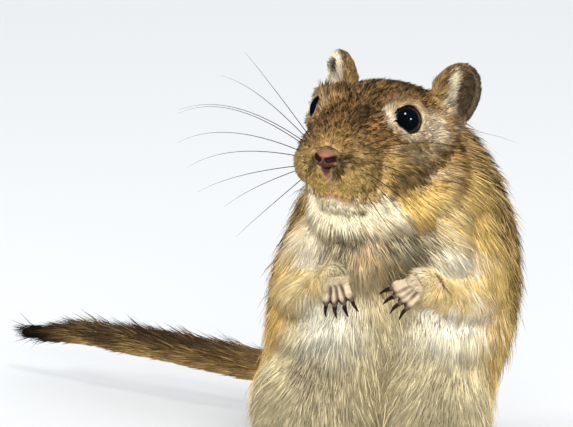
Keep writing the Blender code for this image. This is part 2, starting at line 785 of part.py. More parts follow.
def cut_eye(head, side, place):
    """Cuts the socket and the opening of the lids, and lays the lids' rim round the opening."""
    centre, frame = eye_frame(side)
    radius = EYE_RADIUS + GAP
    ridge = radius + LID_THICKNESS * 0.5
    ring = []
    steps = 22
    for i in range(steps):
        turn = 2 * math.pi * i / steps
        corner = 1.0 + 0.10 * abs(math.cos(turn)) ** 6
        aside = LID_HALF_LENGTH * math.cos(turn) * corner
        above = LID_HALF_HEIGHT * math.sin(turn)
        away = math.hypot(aside, above)
        flat = Vector((aside, above, 0)) / away * math.sin(away)
        ring.append(flat * ridge + Vector((0, 0, math.cos(away) * ridge)))
    rim = closed_tube("lid_rim", ring, LID_THICKNESS, place @ frame)
    boolean(head, rim, "UNION")
    width = math.sin(LID_HALF_LENGTH) * radius
    height = math.sin(LID_HALF_HEIGHT) * radius
    rise = math.cos(LID_HALF_HEIGHT) * radius
    away = (0, 0, rise + 3.5 * MM)
    reach = (width * 1.15, height * 1.15, 7.0 * MM)
    boolean(head, ellipsoid("opening", away, reach, 20, place @ frame), "DIFFERENCE")
    boolean(head, ellipsoid("socket", centre, (radius,) * 3, 16, place), "DIFFERENCE")


def closed_tube(name, ring, radius, matrix, sides=8):
    """A round tube that runs once round a closed ring of points."""
    bm = bmesh.new()
    count = len(ring)
    middle = sum(ring, Vector()) / count
    rows = []
    for i in range(count):
        way = (ring[(i + 1) % count] - ring[i - 1]).normalized()
        out = ring[i] - middle
        out = (out - way * out.dot(way)).normalized()
        up = way.cross(out)
        row = []
        for k in range(sides):
            turn = 2 * math.pi * k / sides
            place = ring[i] + (out * math.cos(turn) + up * math.sin(turn)) * radius
            row.append(bm.verts.new(matrix @ place))
        rows.append(row)
    for i in range(count):
        for k in range(sides):
            j = (k + 1) % sides
            nearer, farther = rows[i], rows[(i + 1) % count]
            bm.faces.new((nearer[k], nearer[j], farther[j], farther[k]))
    bmesh.ops.recalc_face_normals(bm, faces=bm.faces)
    return object_of(name, bm)


def mouth_line(head, place):
    """Grooves of the cleft under the nose and of the lips, laid on the skin of the muzzle."""
    bm = bmesh.new()
    bm.from_mesh(head.data)
    skin = BVHTree.FromBMesh(bm)
    bm.free()

    def on_skin(turn, height):
        way = Vector((math.sin(turn), -math.cos(turn), 0.0))
        start = Vector((0, -4.0, height)) * MM + way * 30 * MM
        towards = (place.to_3x3() @ -way).normalized()
        found = skin.ray_cast(place @ start, towards)[0]
        return found + towards * MOUTH_RADIUS * 0.15

    lines = [[on_skin(0.0, z) for z in CLEFT_HEIGHTS]]
    for side in (-1, 1):
        lines.append([on_skin(side * math.radians(a), z) for a, z in LIP_LINE])
    made = []
    for line in lines:
        radii = [MOUTH_RADIUS] * (len(line) - 1) + [MOUTH_RADIUS * 0.5]
        made.append(tube("groove", *spline_through(line, radii, 2), sides=1))
    return made


def nose_shape(place):
    """The bare pad of the nose with a wing at each side and two nostrils that open sideways."""
    centre = Vector(NOSE_CENTRE) * MM
    radii = Vector(NOSE_RADII) * MM
    pieces = [ellipsoid("pad", centre, radii, 24, place)]
    for side in (-1, 1):
        wing = centre + Vector((side * 1.25, 0.35, 0.1)) * MM
        pieces.append(ellipsoid("wing", wing, radii * 0.78, 24, place))
    nose = fuse(join_all("nose", pieces), 0.16 * MM, 2)
    thin_out(nose, 240)
    space = grown(nose, "nose_space", GAP)
    for side in (-1, 1):
        line = ((0.55, -2.2, -0.25), (1.05, -1.35, -0.3), (1.75, -0.55, 0.15))
        points = [centre + Vector((p[0] * side, p[1], p[2])) * MM for p in line]
        radii = [NOSTRIL_RADIUS, NOSTRIL_RADIUS, NOSTRIL_RADIUS * 0.6]
        boolean(nose, tube("nostril", points, radii, sides=1, matrix=place), "DIFFERENCE")
    return nose, space


def make_head(body):
    """The head with sockets, lids, mouth and nose, then eyes, nose pad and ears of their own."""
    place = head_matrix()
    region = ellipsoid("head_region", Vector((0, 1.5, -6.2)) * MM, Vector((18.5, 20.5, 15.8)) * MM, 20, place)
    fine = thin_out(copy_of(body, "fine"), 7000)
    thin_out(body, 2700)
    head = copy_of(fine, "head")
    bpy.data.objects.remove(fine)
    outside = grown(region, "outside", GAP)
    boolean(head, region, "INTERSECT")
    boolean(body, outside, "DIFFERENCE")
    keep_largest(body)
    for groove in mouth_line(head, place):
        boolean(head, groove, "DIFFERENCE")
    for side in (-1, 1):
        cut_eye(head, side, place)
    nose, space = nose_shape(place)
    boolean(head, space, "DIFFERENCE")
    finish(nose, "nose", BARE_SKIN)
    for side, word in ((-1, "right"), (1, "left")):
        ear = ear_shape(side, word)
        boolean(ear, grown(head, "head_skin", GAP), "DIFFERENCE")
        boolean(ear, grown(body, "body_skin", GAP), "DIFFERENCE")
        finish(ear, f"ear_{word}", BARE_SKIN)
        centre, frame = eye_frame(side)
        eye = ellipsoid("eye", centre, (EYE_RADIUS,) * 3, 16, place)
        finish(eye, f"eye_{word}", EYE_BLACK)
    return finish(head, "head", FUR)


def main():
    clear_scene()
    body = whole_body()
    make_head(body)
    make_feet(body)
    make_paws(body)
    make_tail(body)
    for side in ("right", "left"):
        take(body, thigh_shape(side, THIGH_MARGIN, 16), f"thigh_{side}", FUR)
    tilt = Matrix.Translation(Vector((0, 0, 62)) * MM) @ Matrix.Rotation(math.radians(10.0), 4, "X")
    above = box("above", (0, 0, 30 * MM), (120 * MM, 120 * MM, 60 * MM), tilt)
    take(body, above, "neck", FUR)
    finish(body, "torso", PALE_FUR)


main()
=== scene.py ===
"""The looks of a sitting gerbil: one skin, its coat in fine tufts, eyes, nose, claws and whiskers."""

import math

import bmesh
import bpy
import numpy as np
from mathutils import Matrix, Vector
from mathutils.bvhtree import BVHTree
from mathutils.kdtree import KDTree


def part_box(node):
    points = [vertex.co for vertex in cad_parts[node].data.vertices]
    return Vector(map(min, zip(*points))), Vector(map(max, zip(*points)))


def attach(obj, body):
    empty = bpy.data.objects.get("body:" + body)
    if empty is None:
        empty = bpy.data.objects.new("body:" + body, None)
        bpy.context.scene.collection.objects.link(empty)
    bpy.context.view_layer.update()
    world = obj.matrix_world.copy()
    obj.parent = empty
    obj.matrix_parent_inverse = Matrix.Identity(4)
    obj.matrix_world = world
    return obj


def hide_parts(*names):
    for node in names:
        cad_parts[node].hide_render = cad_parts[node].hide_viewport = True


bl_info = {
    "name": "Sitting gerbil",
    "version": (1, 0, 0),
    "blender": (4, 5, 0),
    "location": "View3D > Sidebar > Gerbil",
    "description": "Builds the skin, coat, face and claws of a sitting gerbil on its solid frame",
    "category": "Object",
}

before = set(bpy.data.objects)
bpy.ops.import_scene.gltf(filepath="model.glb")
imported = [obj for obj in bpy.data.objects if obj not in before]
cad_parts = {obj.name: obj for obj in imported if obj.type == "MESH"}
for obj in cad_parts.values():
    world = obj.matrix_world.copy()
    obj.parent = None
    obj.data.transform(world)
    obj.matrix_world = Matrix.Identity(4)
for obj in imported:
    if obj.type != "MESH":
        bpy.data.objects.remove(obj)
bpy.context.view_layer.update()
MM = 0.001

# Head: its place and turn, and the places in its own frame that the face is built on
HEAD_POINT = np.array((-4.6, -15.0, 77.0))
HEAD_TURN = (
    Matrix.Rotation(math.radians(-19.0), 3, "Z")
    @ Matrix.Rotation(math.radians(-8.0), 3, "X")
    @ Matrix.Rotation(math.radians(2.8), 3, "Y")
)
HEAD_AXES = np.array(HEAD_TURN)
NOSE_PLACE = np.array((0.0, -14.6, -7.9))
EYE_PLACE = np.array((8.1, 0.2, -0.2))
EYE_WAY = (0.72, -0.66, 0.22)
EAR_FOOT = np.array((10.7, 12.5, -0.4))
# How many degrees each ear is turned out and leans out
EAR_TURNS = {"right": (46.0, 21.0), "left": (28.0, 13.0)}
EAR_LEAN_BACK = 20.0

# The cleft's heights from the nose down, and the lips' height at each turn to the side
CLEFT_HEIGHTS = (-9.6, -11.1, -12.6, -14.1, -15.2)
LIP_LINE = ((0.0, -15.2), (14.0, -15.7), (32.0, -15.8), (52.0, -15.5), (68.0, -15.0))

# Tail: its middle line and, from the skin's side, the radius of its core
TAIL_LINE = np.array(
    (
        (-3.0, 22.0, 12.0, 3.6),
        (-6.5, 28.5, 11.7, 3.3),
        (-15.0, 32.5, 11.1, 2.7),
        (-34.0, 37.0, 10.5, 1.9),
        (-47.0, 41.5, 11.1, 1.5),
        (-60.0, 47.0, 11.5, 1.3),
        (-73.0, 53.0, 11.5, 1.0),
        (-82.0, 57.0, 11.2, 0.7),
        (-87.5, 59.6, 11.0, 0.35),
    )
)

# Forepaws: the way each one points, and the middle of its wrist
PAW_WAYS = {"right": (0.16, -0.30, -0.94), "left": (-0.80, -0.34, -0.50)}
WRISTS = {"right": (-8.4, -28.6, 48.0), "left": (7.2, -28.4, 47.2)}

# How wide each eye opens, in degrees from its axis, at each turn round it from above
EYE_OPENING = np.array(
    (
        (-180, 86), (-163, 60), (-144, 41), (-126, 37), (-108, 38), (-90, 43), (-76, 49),
        (-60, 57), (-40, 62), (-20, 62), (0, 60), (24, 60), (47, 62), (70, 62), (90, 62),
        (114, 62), (136, 66), (157, 76), (180, 86),
    ),
    dtype=float,
)

# The nodes of each region of the body
FLESH = {
    "torso": ("torso",),
    "neck": ("neck",),
    "head": ("head",),
    "ear": ("ear_left", "ear_right"),
    "foreleg": ("foreleg_left", "foreleg_right"),
    "forepaw": ("forepaw_left", "forepaw_right"),
    "thigh": ("thigh_left", "thigh_right"),
    "foot": ("hind_foot_left", "hind_foot_right"),
    "tail": ("tail_base", "tail_middle", "tail_brush"),
}
REGIONS = tuple(FLESH)

# Ellipsoids under the skin that fill the hollow between chest and chin: centre and radii
FILLERS = (
    ((-1.5, -16.5, 50.0), (13.0, 9.0, 12.0)),
    ((-6.5, -17.2, 58.0), (8.5, 6.4, 8.5)),
    ((2.5, -15.6, 57.5), (8.0, 6.2, 8.5)),
)

# Where the gold of the face meets the pale chin: distance from the middle, and height
CHIN_EDGE = (
    (0, 3, 5, 7.2, 8.3, 9.3, 10.3, 12.4, 15),
    (-15.5, -15.4, -14.6, -12.4, -13.6, -15.8, -17.4, -19.5, -21.0),
)

MARKS = ("cream", "gold", "dark", "grey", "pale", "white", "tick", "rust")

# Spots of the face's marks that are the same on both sides: centre, radii and strength
FACE_SPOTS = {
    "pale": (
        ((6.6, -4.2, 0.2), (1.6, 1.9, 2.4), 0.95), ((12.0, 6.0, -1.0), (2.8, 4.0, 3.8), 0.85),
        ((10.5, 0.5, -5.6), (4.0, 6.5, 1.4), 0.45), ((12.5, 5.0, -9.5), (2.6, 5.5, 1.2), 0.45),
    ),
    "grey": (((11.5, 2.0, -7.0), (4.5, 9.0, 4.0), 0.45), ((0, -2.0, 4.0), (9, 9, 5), 0.2)),
    "gold": (((0, -1, 5), (5, 8, 5), 0.45), ((9.0, -5.0, -9.0), (4, 7, 3), 0.5)),
}

# The dark spots of the face, which differ from side to side: the crown's dark hair, painted shade at each side
# of the bridge of the nose, and darker patches round the nose pad and low on the cheeks
FACE_DARK_AND_SHADE = (
    # the first two are painted shade at the sides of the bridge of the nose
    ((2.6, -8.4, -0.5), (1.5, 3.8, 3.0), 0.66), ((-3.4, -8.0, -0.5), (1.6, 3.6, 3.0), 0.30),
    ((5.2, 6.5, 6.0), (3.4, 3.4, 3.0), 0.55), ((0, 9.0, 6.0), (5, 4, 3), 0.25),
    ((3.3, -14.4, -8.0), (1.9, 2.2, 1.2), 0.95), ((2.0, -15.0, -9.7), (1.5, 1.8, 1.1), 0.9),
    ((-2.5, -15.2, -9.0), (1.1, 1.9, 1.4), 0.85), ((0.4, -16.0, -6.3), (2.0, 1.9, 0.9), 0.55),
    ((0.0, -15.5, -11.0), (1.9, 1.8, 1.3), 0.5), ((6.0, -12.5, -8.4), (2.4, 2.4, 0.8), 0.45),
    ((9.0, -8.0, -9.6), (3.0, 5.0, 1.1), 0.18), ((12.0, 0.0, -11.0), (2.6, 5.2, 0.9), 0.22),
    ((-8.4, -9.0, -9.4), (2.6, 3.6, 1.3), 0.5), ((-12.0, 0.0, -11.0), (2.6, 5.2, 0.9), 0.2),
    ((0.0, -9.0, 2.0), (2.4, 5.0, 4.0), 0.08),
)

# Spots of the body's marks in the animal's frame
BODY_SPOTS = {
    "gold": (
        ((15, -25, 46.6), (12, 12, 3.6), 0.9), ((-16, -25, 47.4), (7, 12, 4.0), 0.9),
        ((22, -12, 34), (5, 8, 6), 0.6), ((-24, -9, 36), (4, 7, 9), 0.8),
        ((-23, -16, 42), (4, 8, 9), 0.75), ((24, -10, 48.8), (5, 8, 5), 0.8),
        ((-1, -25, 29), (9, 7, 10), 0.35), ((-17.5, -17, 57), (3.5, 7, 6), 0.8),
        ((10, -18, 59.5), (8, 7, 3.0), 0.6),
    ),
    "rust": (((-23.5, -15, 41), (4, 8, 9), 0.45),),
    "white": (
        ((16, -21, 40.2), (10, 10, 3.8), 0.85), ((-12, -22.5, 40.6), (7, 9, 3.6), 0.7),
        ((-14.5, -20, 52.8), (3.8, 12, 4.2), 0.75), ((13.0, -22, 51.2), (6.0, 12, 2.8), 0.9),
        ((-10, -22, 61.0), (6, 12, 4.0), 0.7),
    ),
    "grey": (
        # the first is painted shade on the throat, where the key light falls brightest
        ((2.0, -22, 60.5), (6.0, 12, 3.2), 0.45), ((-8.0, -22, 59.0), (5.0, 12, 2.2), 0.3),
        ((-8.8, -22, 56.0), (4.6, 12, 3.2), 1.0), ((2.8, -24, 56.0), (4.8, 12, 3.8), 1.0),
        ((1.8, -24.5, 52.0), (2.8, 10, 4.2), 0.95), ((-7.0, -25, 52.0), (2.8, 10, 4), 0.85),
        ((-14, -24, 29), (7, 9, 10), 0.85), ((13, -24, 25), (6, 8, 10), 0.75),
        ((-7, -25, 36), (3, 6, 5), 0.4),
    ),
    "dark": (((3.2, -24, 56.2), (4.0, 10, 2.6), 0.70), ((-8.8, -22, 56.4), (3.2, 10, 2.0), 0.45)),
}

# The white patches under the forelegs, on the trunk and thighs alone
TRUNK_WHITE = (((16, -21, 41.5), (10, 11, 6.4), 0.85), ((-12, -22.5, 41.0), (7.5, 10, 6.4), 0.75))

# How far the belly's hair leans sideways, at each place across the animal
BELLY_DRIFT = (
    (-26, -20, -9, -4.5, -1, 1.2, 3, 7, 12, 17, 26),
    (-0.5, -0.6, -0.1, 0.35, 0.35, 0, -0.5, -0.6, -0.35, 0, 0.15),
)

# Across the lid, from the edge of the opening round to its back: share, height and darkness
LID_ROWS = (
    (0.0, 0.04, 1.0), (0.0, 0.12, 1.0), (0.08, 0.24, 1.0), (0.16, 0.32, 0.8),
    (0.30, 0.40, 0.2), (0.50, 0.52, 0.0), (0.72, 0.66, 0.0), (0.90, 0.62, 0.0),
    (1.0, 0.34, 0.0), (0.98, 0.10, 0.0), (0.5, 0.05, 0.0),
)

# The middle line of a nostril, from the middle of the nose's pad
NOSTRIL_LINE = np.array(((0.55, -2.2, -0.35), (1.10, -1.35, -0.4), (1.9, -0.55, 0.05)))

# Whiskers: root on the pad in the head's frame, end in the animal's frame, and how far they sag
WHISKERS = (
    ((-4.6, -11.2, -5.6), (-25.0, -32.0, 91.0), 1.0),
    ((-5.0, -10.4, -6.4), (-30.0, -29.0, 86.0), 1.5),
    ((-4.6, -11.6, -7.0), (-38.0, -30.0, 79.5), 2.2),
    ((-5.2, -10.6, -7.6), (-39.0, -25.0, 78.0), 2.6),
    ((-4.8, -11.6, -8.4), (-38.0, -31.0, 73.5), 2.0),
    ((-5.4, -10.6, -9.0), (-37.0, -27.0, 68.0), 1.6),
    ((-4.8, -11.4, -9.8), (-34.0, -32.0, 64.5), 1.0),
    ((-5.4, -10.2, -10.4), (-30.0, -26.0, 60.5), 0.5),
    ((-4.8, -11.0, -11.2), (-27.0, -32.0, 56.0), 0.3),
    ((4.6, -11.2, -6.0), (25.0, -20.0, 73.0), 1.5),
    ((5.0, -10.4, -7.0), (21.0, -24.0, 69.0), 1.8),
    ((4.6, -11.6, -7.8), (17.0, -25.0, 64.0), 1.8),
    ((5.2, -10.6, -8.6), (15.5, -27.0, 58.0), 1.6),
    ((4.8, -11.4, -9.4), (12.0, -28.0, 55.0), 1.2),
    ((5.4, -10.4, -10.2), (10.5, -29.0, 50.0), 1.0),
    ((4.8, -11.0, -11.0), (7.0, -30.0, 51.0), 0.6),
)

# Lights: way from what they light, side in metres, the setting that holds the power, and tint
LIGHTS = {
    "key": ((0.215, -0.489, 0.846), 0.13, "key", (1.0, 0.97, 0.92)),
    "right_light": ((0.809, -0.504, 0.302), 0.11, "side_lights", (1.0, 0.98, 0.95)),
    "left_light": ((-0.760, -0.323, 0.565), 0.11, "side_lights", (0.97, 0.98, 1.0)),
    "front_light": ((0.10, -0.985, 0.14), 0.6, "front", (1.0, 0.99, 0.97)),
}
LIGHT_AIM = Vector((0.003, -0.0175, 0.0764))
LIGHT_DISTANCE = 0.8
STUDIO_COLOUR = (0.97, 0.985, 1.0, 1.0)

# The camera's own right and backward directions
CAMERA_RIGHT = Vector((0.99027, 0.13917, 0.0))
CAMERA_BACK = Vector((0.13613, -0.96863, 0.20791))

# Faces of the copied surfaces before they are thinned out, and the most triangles after it
SKIN_VOXEL = 0.40
FOREPAW_VOXEL = 0.14
FOOT_VOXEL = 0.22
NOSE_VOXEL = 0.10
SKIN_TRIANGLES = 150000
PAW_TRIANGLES = 9000
PIECE_TRIANGLES = 190000  # in one piece of the coat

FOREPAW_SHARE = 0.45  # of a hind foot's wisps
LID_WISPS = 2600
NOSE_WISPS = 1500
ROOT_DEPTH = 0.12  # how far a wisp starts under the skin
DROOP = 0.010  # of a wisp's end, times the square of its length

# Along a wisp, by how many rings it has: the rings' places and their girth
WISP_RINGS = {
    1: ((0.40,), (1.0,)),
    2: ((0.0, 0.5), (0.62, 1.0)),
    3: ((0.0, 0.33, 0.67), (0.60, 1.0, 0.72)),
}
WISP_TRIANGLES = {1: 6, 2: 10, 3: 16}

STORE = {}  # what the first stage makes and the later ones grow on


def tone(red, green, blue):
    """A colour given as display values from 0 to 255, as the linear one that a shader takes."""
    shown = np.array((red, green, blue)) / 255.0
    linear = np.where(shown <= 0.04045, shown / 12.92, ((shown + 0.055) / 1.055) ** 2.4)
    return (*(float(v) for v in linear), 1.0)


def colour_setting(label, note, red, green, blue):
    """A colour that a user may change."""
    return bpy.props.FloatVectorProperty(
        name=label, description=note, subtype="COLOR", size=4, min=0.0, max=1.0,
        default=tone(red, green, blue),
    )


def measure_setting(label, note, unit, number):
    """A length, a power or a plain number that a user may change."""
    return bpy.props.FloatProperty(name=label, description=note, unit=unit, default=number)


def count_setting(label, note, count):
    """A count that a user may change."""
    return bpy.props.IntProperty(name=label, description=note, default=count)


class CoatSettings(bpy.types.PropertyGroup):
    """Lengths, fullness and colours of the coat."""

    body_hair: measure_setting("Body hair", "Length of the hair on the back and belly", "LENGTH", 7.4 * MM)
    face_hair: measure_setting("Face hair", "Length of the hair on the cheeks", "LENGTH", 4.4 * MM)
    crest_hair: measure_setting("Crest hair", "Length of the hair along the tail's crest", "LENGTH", 10.5 * MM)
    wisp_width: measure_setting("Wisp width", "Width of a wisp of body hair at its widest", "LENGTH", 0.25 * MM)
    body_wisps: count_setting("Body wisps", "Wisps on the body and legs", 132000)
    guard_wisps: count_setting("Guard wisps", "Longer wisps over the body", 10000)
    face_wisps: count_setting("Face wisps", "Wisps on the head and ears", 56000)
    tail_wisps: count_setting("Tail wisps", "Wisps on the tail", 11000)
    paw_wisps: count_setting("Paw wisps", "Wisps on each hind foot. A forepaw has fewer", 2200)
    brown: colour_setting("Brown", "Back and sides", 176, 146, 96)
    gold: colour_setting("Gold", "Flank band, muzzle and forearms", 228, 194, 118)
    rust: colour_setting("Rust", "Crown, bridge of the nose and the stripe down the belly", 140, 95, 48)
    cream: colour_setting("Cream", "Belly, chest and throat", 232, 220, 182)
    white: colour_setting("White", "Chin and the palest of the belly", 253, 249, 234)
    pale: colour_setting("Pale", "Ring round the eye and the patch before the ear", 220, 206, 178)
    dark: colour_setting("Dark", "Crest and tip of the tail, inside of the ear", 36, 27, 20)
    root: colour_setting("Root", "Base of every hair", 118, 106, 86)
    tick: colour_setting("Ticking", "Dark ends of the hairs of the back", 50, 37, 24)


class BareSettings(bpy.types.PropertyGroup):
    """Colours of what has no coat."""

    nose: colour_setting("Nose", "Pad of the nose", 122, 70, 54)
    lip: colour_setting("Lip", "Lips and the cleft above them", 146, 84, 70)
    paw: colour_setting("Paw", "Digits and palms", 184, 156, 130)
    # painted shade: the colour laid into the grooves between the digits, the hollows of the hind feet and the
    # cleft above the lip, and round the claws
    seam: colour_setting("Seam", "Between the digits and round the claws", 54, 28, 24)
    claw: colour_setting("Claw", "Claws", 30, 16, 12)
    eye: colour_setting("Eye", "Eyes", 4, 6, 10)
    lid: colour_setting("Lid", "Bare edge of the lids", 30, 24, 22)
    whisker: colour_setting("Whisker", "Whiskers", 48, 38, 30)
    whisker_width: measure_setting("Whisker width", "Width of a whisker at its root", "LENGTH", 0.18 * MM)


class StageSettings(bpy.types.PropertyGroup):
    """The floor, the lights and the camera."""

    floor: colour_setting("Floor", "The pale floor", 226, 228, 229)
    floor_side: measure_setting("Floor side", "Side of the floor", "LENGTH", 6.0)
    ambient: measure_setting("Ambient", "Light from all round", "NONE", 1.22)
    key: measure_setting("Key", "Power of the high front light in watts", "POWER", 1.6)
    front: measure_setting("Front", "Power of the soft front light in watts", "POWER", 6.0)
    side_lights: measure_setting("Side lights", "Power of each side light in watts", "POWER", 1.1)
    camera_place: bpy.props.FloatVectorProperty(
        name="Camera", description="Where the camera stands", subtype="XYZ", unit="LENGTH",
        default=(0.03975, -0.43755, 0.14796),
    )
    lens: measure_setting("Lens", "Focal length in millimetres", "CAMERA", 141.6)


# ---------------------------------------------------------------- shader wiring


class Wire:
    """A node's output. Python's operators on it add the Math nodes they stand for."""

    def __init__(self, look, socket):
        self.look = look
        self.socket = socket

    def math(self, operation, *values):
        """A Math node with these values."""
        return self.look.node("ShaderNodeMath", {"operation": operation}, dict(enumerate(values)))

    def __add__(self, other):
        return self.math("ADD", self, other)

    def __radd__(self, other):
        return self.math("ADD", other, self)

    def __sub__(self, other):
        return self.math("SUBTRACT", self, other)

    def __rsub__(self, other):
        return self.math("SUBTRACT", other, self)

    def __mul__(self, other):
        return self.math("MULTIPLY", self, other)

    def __rmul__(self, other):
        return self.math("MULTIPLY", other, self)

    def rise(self, low, high):
        """0 below low, 1 above high and smooth between them."""
        settings = {"interpolation_type": "SMOOTHSTEP", "clamp": True}
        return self.look.node("ShaderNodeMapRange", settings, {0: self, 1: low, 2: high, 3: 0.0, 4: 1.0})


class Look:
    """A material with its Principled shader, wired in code."""

    def __init__(self, name, roughness, specular=0.5):
        self.material = bpy.data.materials.new(name)
        self.material.use_nodes = True
        self.tree = self.material.node_tree
        self.shader = self.tree.nodes["Principled BSDF"]
        self.shader.inputs["Roughness"].default_value = roughness
        self.shader.inputs["Specular IOR Level"].default_value = specular

    def give(self, socket, value):
        """Sets an input to a value, or links a wire to it."""
        if isinstance(value, Wire):
            self.tree.links.new(value.socket, socket)
        else:
            socket.default_value = value

    def node(self, kind, settings, inputs, output=0):
        """Adds a node with its settings and inputs, and returns the wire from one output."""
        made = self.tree.nodes.new(kind)
        for name, value in settings.items():
            setattr(made, name, value)
        for key, value in inputs.items():
            self.give(made.inputs[key], value)
        return Wire(self, made.outputs[output])

    def blend(self, share, first, second):
        """The first colour at 0 and the second at 1."""
        settings = {"data_type": "RGBA", "clamp_factor": True}
        return self.node("ShaderNodeMix", settings, {0: share, 6: first, 7: second}, 2)

    def shade(self, colour, factor):
        """A colour made darker or lighter by a value."""
        if not isinstance(colour, Wire):
            colour = colour[:3]
        return self.node("ShaderNodeVectorMath", {"operation": "SCALE"}, {0: colour, "Scale": factor})

    def attribute(self, name):
        """The four numbers of a named attribute."""
        settings = {"attribute_name": name}
        colour = self.node("ShaderNodeAttribute", settings, {}, 0)
        split = [self.node("ShaderNodeSeparateColor", {}, {0: colour}, i) for i in range(3)]
        return (*split, self.node("ShaderNodeAttribute", settings, {}, 3))

    def place(self):
        """The place on the object, in its own coordinates."""
        return self.node("ShaderNodeTexCoord", {}, {}, 3)

    def noise(self, scale, detail):
        """Noise over the object's own coordinates."""
        inputs = {"Vector": self.place(), "Scale": scale, "Detail": detail}
        return self.node("ShaderNodeTexNoise", {}, inputs)

    def colour(self, value):
        self.give(self.shader.inputs["Base Color"], value)

    def bump(self, height, distance, strength):
        inputs = {"Height": height, "Distance": distance, "Strength": strength}
        self.give(self.shader.inputs["Normal"], self.node("ShaderNodeBump", {}, inputs))


def marked_colour(look, along, draw, other_draw):
    """The coat's colours from root to tip, where the marks that the skin and coat share put them."""
    coat = bpy.context.scene.gerbil_coat
    cream, gold, dark, grey = look.attribute("marks")
    pale, white, ticking, rust = look.attribute("more_marks")
    band = tuple(coat.brown)
    over = {"gold": gold, "cream": cream, "pale": pale, "white": white, "rust": rust, "dark": dark}
    for name, share in over.items():
        band = look.blend(share, band, tuple(getattr(coat, name)))
    light = cream.math("MAXIMUM", cream, white)
    band = look.shade(band, (draw - 0.5) * (0.76 - light * 0.38) + (0.98 - grey * 0.28))
    edge = 0.02 + grey * 0.50
    inner = (along - edge + 0.12).rise(0.0, 0.30)
    root = look.blend(cream * (1.0 - grey), tuple(coat.root), tone(196, 182, 152))
    root = look.shade(look.blend(dark, root, tuple(coat.dark)), 0.78 + other_draw * 0.44)
    hair = look.blend(inner, root, band)
    tip = ticking * other_draw.rise(0.50, 0.60) * along.rise(0.30, 0.60)
    return look.blend(tip, hair, tuple(coat.tick))


def coat_look(name):
    """The material of one coat."""
    look = Look(name, 0.7, 0.12)
    along, draw, other_draw, _ = look.attribute("wisp")
    look.colour(marked_colour(look, along, draw, other_draw))
    return look.material


def face_marks_on(marks, paint, dab, face, head):
    """The head's own marks, in the head's frame."""
    hx, hy, hz = head.T
    mirrored = on_one_side(head)
    crown = rise(hz + 0.10 * hy, -8.0, -3.0)
    chin = rise(np.interp(np.abs(hx), *CHIN_EDGE) - hz, -0.5, 1.2)
    pads = spot(mirrored, (3.0, -12, -11.5), (6.0, 5, 4.5))
    gold = np.maximum(0.62 * pads, spot(mirrored, (11.5, 0, -14.5), (5.5, 9, 3.6)))
    paint("gold", face * (0.22 + 0.78 * gold))
    paint("gold", face * 0.5 * spot(mirrored, (0, -13.5, -4.5), (3.0, 4, 2.6)))
    paint("tick", face * (0.75 + 0.25 * crown) * (1 - chin) * (1 - 0.65 * gold))
    paint("white", face * chin * 0.30)
    marks["grey"] = marks["grey"] * (1 - 0.9 * chin * face)
    paint("cream", face * chin * 0.92)
    marks["gold"] = marks["gold"] * (1 - 0.7 * chin * face)
    ring = np.exp(-(((eye_distance(head) - 4.0) / 0.75) ** 2)) * (1.0 - 0.45 * rise(hz, 0.5, 3.0))
    dab("pale", mirrored, face, FACE_SPOTS["pale"])
    paint("pale", face * 0.75 * ring)
    marks["pale"] = marks["pale"] * (1 - 0.7 * face * rise(-hx, 2.0, 4.0) * rise(-hy, -1.5, 1.0))
    middle = spot(mirrored, (0, -8, 0), (3.2, 9, 6), 0.6)
    paint("rust", face * (0.42 + 0.24 * crown) * (1 - 0.6 * gold) * (1 - 0.6 * rise(-hz, 4.0, 10.0)))
    paint("rust", face * 0.75 * middle)
    dab("grey", mirrored, face, FACE_SPOTS["grey"])
    dab("gold", mirrored, face, FACE_SPOTS["gold"])
    # dark hair of the crown, and painted shade beside the bridge of the nose
    dab("dark", head, face, FACE_DARK_AND_SHADE)
    light = np.clip(1.0 - marks["pale"] * face, 0, 1) * (1 - 0.95 * np.maximum(marks["white"], chin) * face)
    for name in ("rust", "tick", "dark"):
        marks[name] = marks[name] * (1 - face + face * light ** (1.3 if name == "tick" else 1.0))


def ear_marks_on(paint, here_all, head, normals):
    """Each ear's own marks: a tan front edge, cream within, dark towards the outer side."""
    hx = head[:, 0]
    for word, sign in (("left", 1), ("right", -1)):
        own = to_ear(head, word) * (sign, 1, 1)
        facing = normals @ HEAD_AXES @ ear_axes(word)[1] * (sign, 1, 1)
        here = here_all * (np.sign(hx) == sign)
        across, back, up = own.T
        inner = rise(-facing[:, 1] - facing[:, 0] * across / 4.0, -0.1, 0.5) * rise(up, 0.5, 2.5)
        if sign > 0:
            edge = np.interp(up, (3, 6, 11), (1.2, 0.5, -0.6))
            front = np.maximum(inner, rise(-facing[:, 1], -0.4, 0.1))
            paint("dark", here * front * rise(across - edge, -0.5, 0.6) * rise(up, 1.0, 3.0) * 0.78)
            paint("pale", here * front * rise(across - edge, -0.5, 0.6) * 0.5)
            cup = here * inner * rise(edge - across, -0.4, 0.7)
            cup = cup * rise(across, -3.0, -1.8) * rise(-up, -11.2, -9.8)
            streak = rise(np.sin(across * 4.2 + up * 1.1 + 1.3 * np.sin(up * 1.7)), 0.1, 0.8)
            paint("dark", cup * 0.55 * streak * rise(-up, -7.5, -4.5))
            paint("tick", cup * 0.7 * rise(-up, -7.0, -4.0))
        else:
            cup = here * rise(-back, 0.1, 1.1) * rise(up, 1.0, 3.0)
            dot = spot(own, (1.6, -1.0, 10.6), (1.5, 2.6, 1.5))
            dot = dot + 0.8 * spot(own, (-2.9, -2.2, 4.2), (2.4, 2.4, 1.3))
            paint("dark", here * np.clip(dot, 0, 1) * 0.7)
        paint("cream", cup)
        paint("white", cup * 0.3)
        rest = here * (1 - cup)
        paint("dark", rest * 0.26)
        paint("grey", rest * 0.30)
        paint("gold", rest * (0.20 + 0.25 * rise(-across, 1.8, 3.0)))
        paint("rust", rest * 0.45)
        paint("tick", rest * 0.9)


